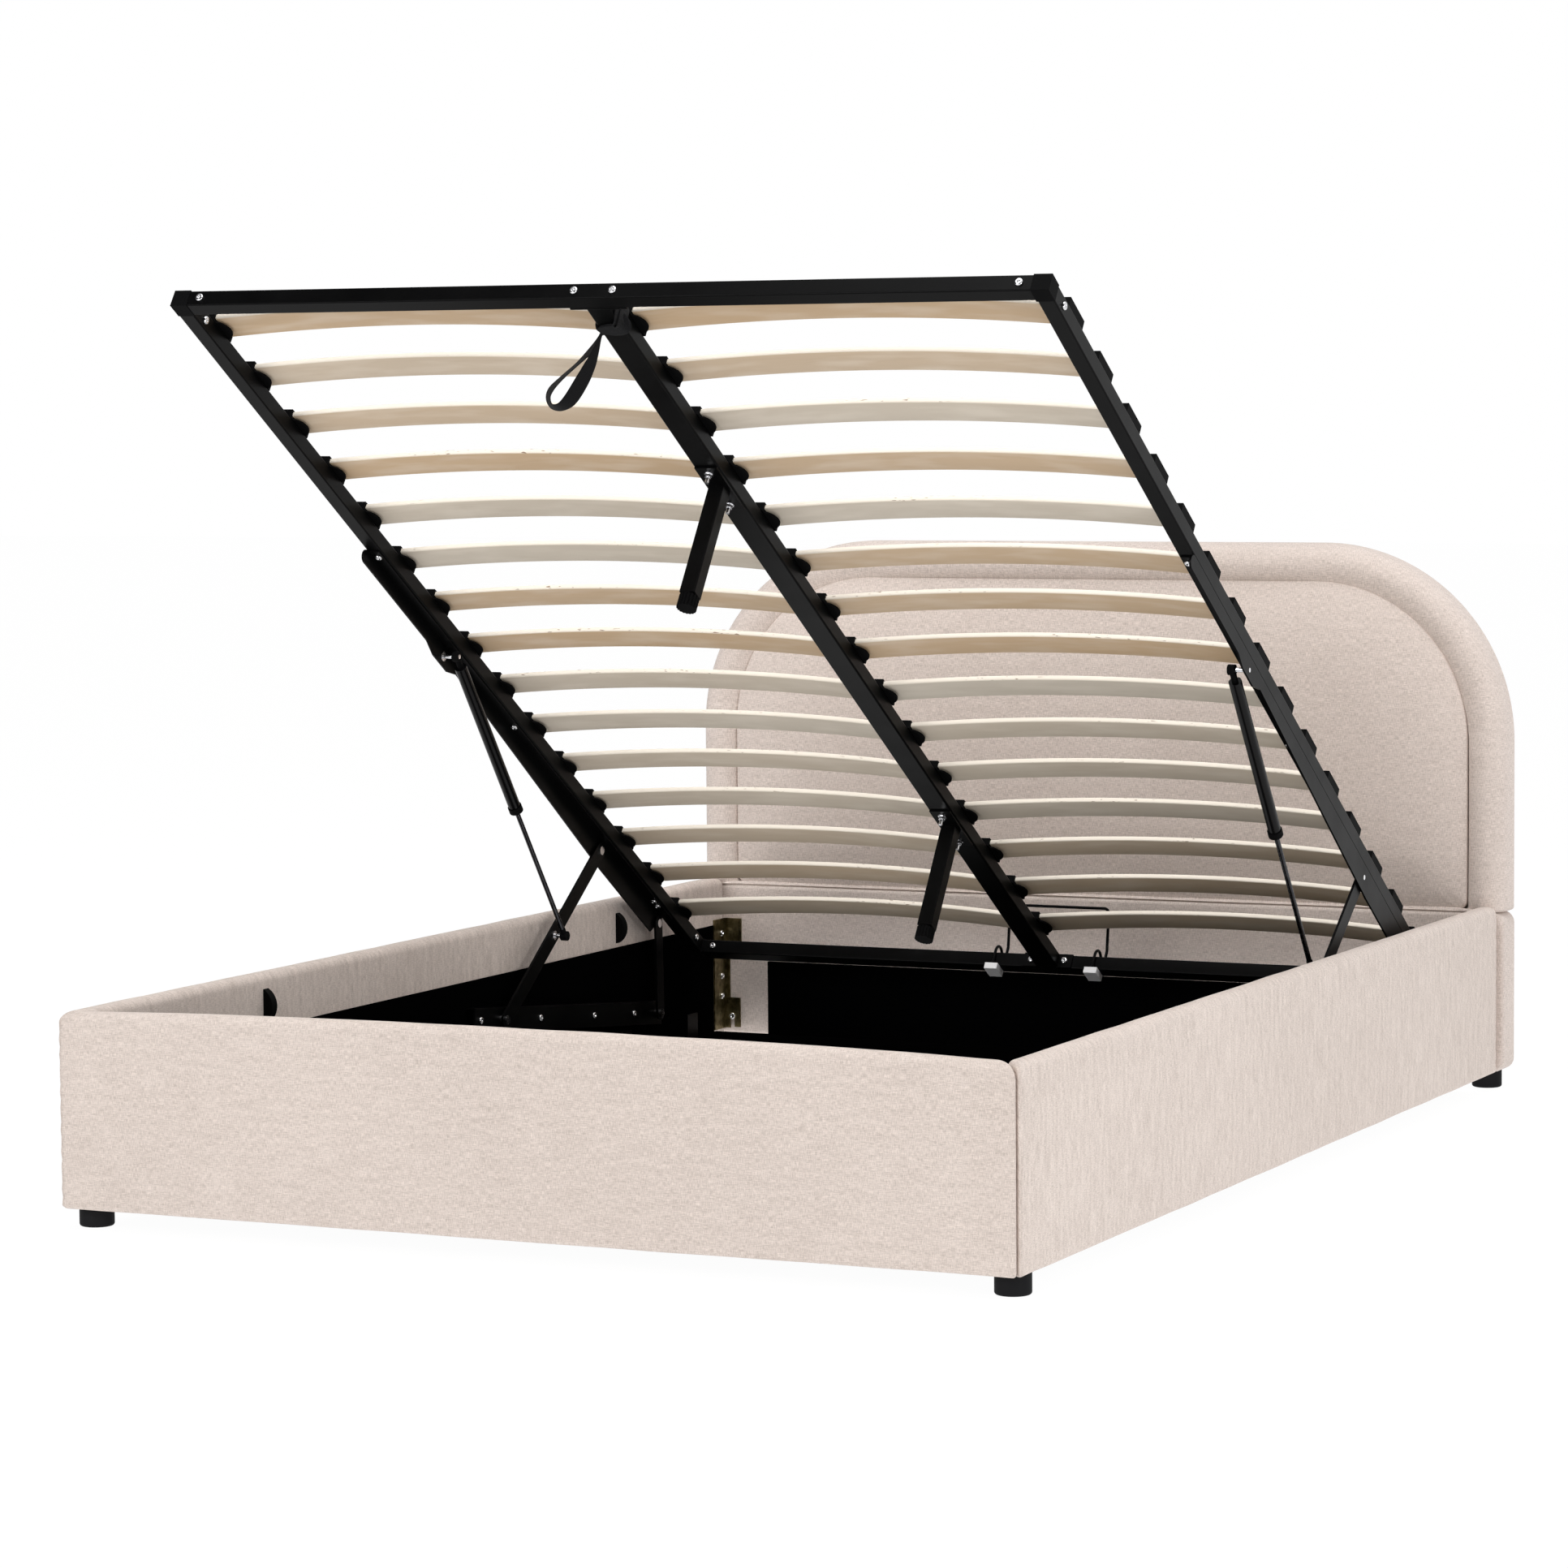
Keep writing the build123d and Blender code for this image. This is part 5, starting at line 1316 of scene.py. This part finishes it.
@dataclass
class DomedScrews:
    """Domed heads with a hexagon socket: a lathe profile whose inner rings turn to six-sided ones."""

    radius: float = 0.006
    height: float = 0.0035
    rim: float = 0.0012
    socket: float = 0.0026
    socket_depth: float = 0.0022
    sides: int = 24

    def head(self) -> tuple[np.ndarray, np.ndarray]:
        """Rings of one head.

        Returns:
            In-plane places as rings by sides by 2, and the rings' heights above the seat.
        """
        turns = np.linspace(0.0, 2.0 * math.pi, self.sides, endpoint=False)
        hexagon = math.cos(math.pi / 6.0) / np.cos(np.mod(turns, math.pi / 3.0) - math.pi / 6.0)
        floor = self.height - self.socket_depth
        lip = self.radius * 0.62
        wide, tall = self.radius - lip, self.height - self.rim
        dome = np.linspace(0.0, math.pi / 2.0, 6)
        rings = np.array(
            [
                (0.0, floor - 0.0004, 1.0),
                (self.socket * 0.96, floor, 1.0),
                (self.socket, self.height - 0.0001, 1.0),
                (self.socket * 1.14, self.height, 0.6),
                *((lip + wide * math.sin(a), self.rim + tall * math.cos(a), 0.0) for a in dome),
                (self.radius, 0.0005, 0.0),
                (self.radius * 0.97, 0.0, 0.0),
                (0.0, 0.0, 0.0),
            ]
        )
        radii = rings[:, :1] * (1.0 + (hexagon[None, :] - 1.0) * rings[:, 2:3])
        return np.stack([radii * np.cos(turns), radii * np.sin(turns)], axis=-1), rings[:, 1]

    def build(self, name: str, node: str, body: Body, seats: Seats) -> bpy.types.Object:
        """Sets a head on every seat.

        Args:
            name: The piece's name.
            node: The node that it replaces.
            body: The body that it rides on.
            seats: Centre of each seat and the direction that the head points in.

        Returns:
            The piece.
        """
        plan, heights = self.head()
        uv = np.concatenate([plan, plan[:, :1]], axis=1)
        shell = Shell()
        for number, (seat, axis) in enumerate(seats):
            axis = unit(axis)
            guide = np.array([1.0, 0.0, 0.0]) if abs(axis[0]) < 0.9 else np.array([0.0, 0.0, 1.0])
            first = unit(np.cross(axis, guide))
            second = np.cross(axis, first)
            turn = number * 0.7
            right = first * math.cos(turn) + second * math.sin(turn)
            ahead = second * math.cos(turn) - first * math.sin(turn)
            points = seat + plan[..., :1] * right + plan[..., 1:] * ahead + heights[:, None, None] * axis
            shell.grid(points, uv)
        return settle_piece(shell.piece(name, BRIGHT_ZINC), body, (node,))


@dataclass
class Fasteners:
    """Every screw and bolt head of the bed, on the seats that the solids give them."""

    frame: DeckFrame
    tube: float = 0.025
    half: float = 0.680
    end_bolt: float = 0.635
    beam_bolt: float = 0.030
    elbow_bolt: float = 0.056
    plate: float = 0.003
    arm_x: float = 0.666
    arm_n: float = -0.0275
    arm_places: tuple[float, ...] = (0.680, 1.203, 1.803, 1.820)
    channel_x: float = 0.682
    channel_places: tuple[float, ...] = (-0.073, 0.134, 0.328, 0.478)
    front_pivot: tuple[float, float] = (FOOT_FACE + 1.222, 0.157)
    rear_pivot: tuple[float, float] = (FOOT_FACE + 1.784, 0.103)
    bracket_x: float = 0.698
    bracket_inset: float = 0.020
    bracket_heights: Triple = (0.098, 0.134, 0.211)
    hook_x: float = 0.6845
    hook_inset: float = 0.006
    hook_height: float = 0.061

    def frame_seats(self) -> Seats:
        """Heads on the deck's end tubes, beam plates and side tubes."""
        back, outward = -self.frame.along, np.array([1.0, 0.0, 0.0])
        middle = -self.tube / 2.0
        length, ends, beam = self.frame.length, self.end_bolt, self.beam_bolt
        places = [(x, 0.0, back) for x in (-ends, -beam, beam, ends)]
        places += [(x, length - self.tube, back) for x in (-ends, ends)]
        places += [(x, length - self.tube - self.plate, back) for x in (-beam, beam)]
        for t in (self.elbow_bolt, length - self.elbow_bolt):
            places += [(x, t, outward) for x in (self.tube - self.half, self.half)]
        return [(self.frame.point(x, t, middle), axis) for x, t, axis in places]

    def arm_seats(self) -> Seats:
        """Heads under the lift arms' flanges."""
        places = [(side * self.arm_x, t) for side in (-1, 1) for t in self.arm_places]
        return [(self.frame.point(x, t, self.arm_n), -self.frame.up) for x, t in places]

    def channel_seats(self) -> Seats:
        """Heads on the base channels' webs."""
        start, end = np.array(self.front_pivot), np.array(self.rear_pivot)
        seats = []
        for side in (-1, 1):
            for place in self.channel_places:
                y, z = start + unit(end - start) * place
                seats.append((np.array([side * self.channel_x, y, z]), np.array([-side, 0.0, 0.0])))
        return seats

    def corner_seats(self) -> Seats:
        """Heads down the corner brackets, and those of the hook bolts."""
        seats = []
        for side in (-1, 1):
            for face, way in ((HEAD_FACE, -1), (FOOT_FACE + RAIL_DEPTH, 1)):
                y = face + way * self.bracket_inset
                for z in self.bracket_heights:
                    seats.append((np.array([side * self.bracket_x, y, z]), np.array([-side, 0.0, 0.0])))
                hook = np.array([side * self.hook_x, face + way * self.hook_inset, self.hook_height])
                seats.append((hook, np.array([0.0, way, 0.0])))
        return seats

    def build(self) -> list[bpy.types.Object]:
        """Makes all the sets."""
        screws = DomedScrews()
        sets = (
            ("frame_bolt_heads", "frame_bolts", Body.DECK, self.frame_seats()),
            ("arm_screw_heads", "arm_screws", Body.DECK, self.arm_seats()),
            ("channel_bolt_heads", "channel_bolts", Body.BASE, self.channel_seats()),
            ("corner_bolt_heads", "corner_bolts", Body.BASE, self.corner_seats()),
        )
        return [screws.build(*chosen) for chosen in sets]


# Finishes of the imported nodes


NODE_FINISHES: tuple[tuple[Finish, tuple[str, ...]], ...] = (
    (FOOT_PLASTIC, ("feet",)),
    (LINING, ("box_liners",)),
    (DARK_BOARD, ("base_boards", "head_wall")),
    (YELLOW_ZINC, ("corner_brackets", "hook_plates")),
    (STRUT_BLACK, ("strut_cylinders",)),
    (ROD_STEEL, ("strut_rods", "strut_pistons")),
    (WHITE_PLASTIC, ("retainer_blocks",)),
    (BRIGHT_ZINC, ("lower_pivots", "front_rivets", "rear_rivets", "rear_lower_rivets", "leg_screws")),
    (BRIGHT_ZINC, ("lower_strut_studs", "upper_strut_studs")),
    (BLACK_STEEL, ("board_brackets", "wall_brackets", "base_channels", "front_links", "rear_links")),
    (BLACK_STEEL, ("foot_tube", "head_tube", "left_tube", "right_tube", "centre_beam", "beam_plates")),
    (BLACK_STEEL, ("lift_arms", "leg_plates", "support_legs", "mattress_retainer")),
    (BLACK_PLASTIC, ("board_glides", "side_guides", "strut_sockets", "strut_collars", "rod_ends")),
    (BLACK_PLASTIC, ("corner_elbows", "left_holders", "right_holders", "beam_holders")),
    (BLACK_PLASTIC, ("leg_plugs", "front_levelling_foot", "rear_levelling_foot")),
)


def dress_nodes(nodes: dict[str, bpy.types.Object]) -> None:
    """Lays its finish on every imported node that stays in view."""
    for finish, names in NODE_FINISHES:
        for name in names:
            nodes[name].data.materials.clear()
            nodes[name].data.materials.append(finish.material())
            LOG.info("%s: %s", name, finish.name)


# Studio


WHITE = (1.0, 1.0, 1.0, 1.0)


@dataclass(frozen=True)
class Lamp:
    """One soft square lamp, by its place and aim, its size in metres, watts and spread in degrees."""

    name: str
    place: Triple
    aim: Triple
    size: float
    power: float
    spread: float = 180.0

    def hang(self) -> None:
        """Hangs the lamp at its place, turned to its aim."""
        data = bpy.data.lights.new(self.name, "AREA")
        data.shape = "SQUARE"
        data.size = self.size
        data.energy = self.power
        data.spread = math.radians(self.spread)
        lamp = bpy.data.objects.new(self.name, data)
        lamp.location = self.place
        lamp.visible_camera = False
        lamp.rotation_euler = (Vector(self.aim) - Vector(self.place)).to_track_quat("-Z", "Y").to_euler()
        bpy.context.scene.collection.objects.link(lamp)


LAMPS = (
    Lamp("key_lamp", (-3.6, -10.6, 4.0), (0.1, -0.3, 0.4), 4.6, 590.0),
    Lamp("fill_lamp", (5.6, -3.0, 0.8), (0.2, 0.0, 0.3), 1.5, 77.0),
    Lamp("top_lamp", (0.3, -0.9, 4.5), (0.1, 0.3, 0.0), 3.0, 116.0),
    Lamp("well_lamp_left", (-0.36, 0.36, 0.07), (-0.36, 0.37, 1.0), 0.5, 0.6, 150.0),
    Lamp("well_lamp", (0.02, -0.25, 0.07), (0.02, -0.24, 1.0), 0.9, 2.0, 150.0),
)


@dataclass
class Studio:
    """Pale floor, soft lamps, bright surround and the camera of the photograph."""

    eye: Triple = (3.1337, -6.8972, 1.1659)
    yaw: float = math.radians(25.143)
    pitch: float = math.radians(4.4805)
    roll: float = math.radians(-0.4718)
    lens: float = 112.995
    sensor: float = 36.0
    far: float = 200.0
    floor_reach: float = 30.0
    floor_drop: float = 0.0006
    bright_way: Triple = (0.50, 0.84, 0.20)

    def camera(self) -> None:
        """Turns the camera by yaw, pitch and roll from looking along +Y."""
        data = bpy.data.cameras.new("camera")
        data.sensor_width = self.sensor
        data.lens = self.lens
        data.clip_end = self.far
        right = Vector((math.cos(self.yaw), math.sin(self.yaw), 0.0))
        level = Vector((-math.sin(self.yaw), math.cos(self.yaw), 0.0))
        ahead = level * math.cos(self.pitch) - Vector((0.0, 0.0, math.sin(self.pitch)))
        above = right.cross(ahead)
        tilted = right * math.cos(self.roll) + above * math.sin(self.roll)
        above = above * math.cos(self.roll) - right * math.sin(self.roll)
        turn = Matrix((tilted, above, -ahead)).transposed().to_4x4()
        camera = bpy.data.objects.new("camera", data)
        camera.matrix_world = Matrix.Translation(self.eye) @ turn
        bpy.context.scene.collection.objects.link(camera)
        bpy.context.scene.camera = camera

    def floor(self) -> None:
        """Lays a wide pale floor that glows faintly, as a lit paper sweep does."""
        across = np.linspace(-self.floor_reach, self.floor_reach, 3)
        x, y = np.meshgrid(across, across, indexing="ij")
        points = np.stack([x, y, np.full_like(x, -self.floor_drop)], axis=-1)
        mesh = bpy.data.meshes.new("floor")
        quads = grid_quads(np.arange(x.size).reshape(x.shape))
        mesh.from_pydata(points.reshape(-1, 3).tolist(), [], quads.tolist())
        sheet = ShaderSheet("studio_paper")
        sheet.shade(
            {
                "Base Color": (0.05, 0.05, 0.05, 1.0),
                "Roughness": 0.9,
                "Emission Color": WHITE,
                "Emission Strength": 0.97,
                "Specular IOR Level": 0.0,
            }
        )
        mesh.materials.append(sheet.material)
        floor = bpy.data.objects.new("floor", mesh)
        bpy.context.scene.collection.objects.link(floor)

    def surround(self) -> None:
        """Lights the studio from all round, brightest behind the bed and to its right, on white."""
        world = bpy.data.worlds.new("studio")
        bpy.context.scene.world = world
        world.use_nodes = True
        sheet = NodeSheet(world.node_tree)
        where = sheet.add("ShaderNodeTexCoord", {}, {}, "Generated")
        sides = {0: where, 1: self.bright_way}
        facing = sheet.add("ShaderNodeVectorMath", {"operation": "DOT_PRODUCT"}, sides, "Value")
        strength = facing.stretch(-0.35, 0.75, 0.05, 1.0)
        soft = sheet.add("ShaderNodeBackground", {}, {"Color": WHITE, "Strength": strength})
        plain = sheet.add("ShaderNodeBackground", {}, {"Color": WHITE})
        seen = sheet.add("ShaderNodeLightPath", {}, {}, "Is Camera Ray")
        mix = sheet.add("ShaderNodeMixShader", {}, {0: seen, 1: soft, 2: plain})
        sheet.plug(sheet.nodes.new("ShaderNodeOutputWorld"), "Surface", mix)

    def build(self) -> None:
        """Sets up the whole studio."""
        bpy.context.scene.view_settings.view_transform = "Standard"
        self.camera()
        self.floor()
        self.surround()
        for lamp in LAMPS:
            lamp.hang()


# Whole bed


def main() -> None:
    """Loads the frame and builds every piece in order."""
    logging.basicConfig(level=logging.INFO, format="%(name)s %(message)s")
    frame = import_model()
    Studio().build()
    deck = DeckFrame()
    rail_end = HEAD_FACE - 0.0008
    panels = (
        BoxPanel("foot_board", -HALF_WIDTH, HALF_WIDTH, FOOT_CLOTH, 3, mitre_end=True, rise=0.009),
        BoxPanel("left_rail", FOOT_FACE, rail_end, RAIL_CLOTH, 5, side=-1),
        BoxPanel("right_rail", FOOT_FACE, rail_end, RAIL_CLOTH, 8, side=1),
    )
    for panel in panels:
        panel.build()
    headboard = Headboard()
    headboard.border()
    headboard.pad()
    headboard.lower_panel()
    Slats(deck).build()
    PullStrap(deck).build()
    Fasteners(deck).build()
    dress_nodes(frame["nodes"])


if __name__ == "__main__":
    main()
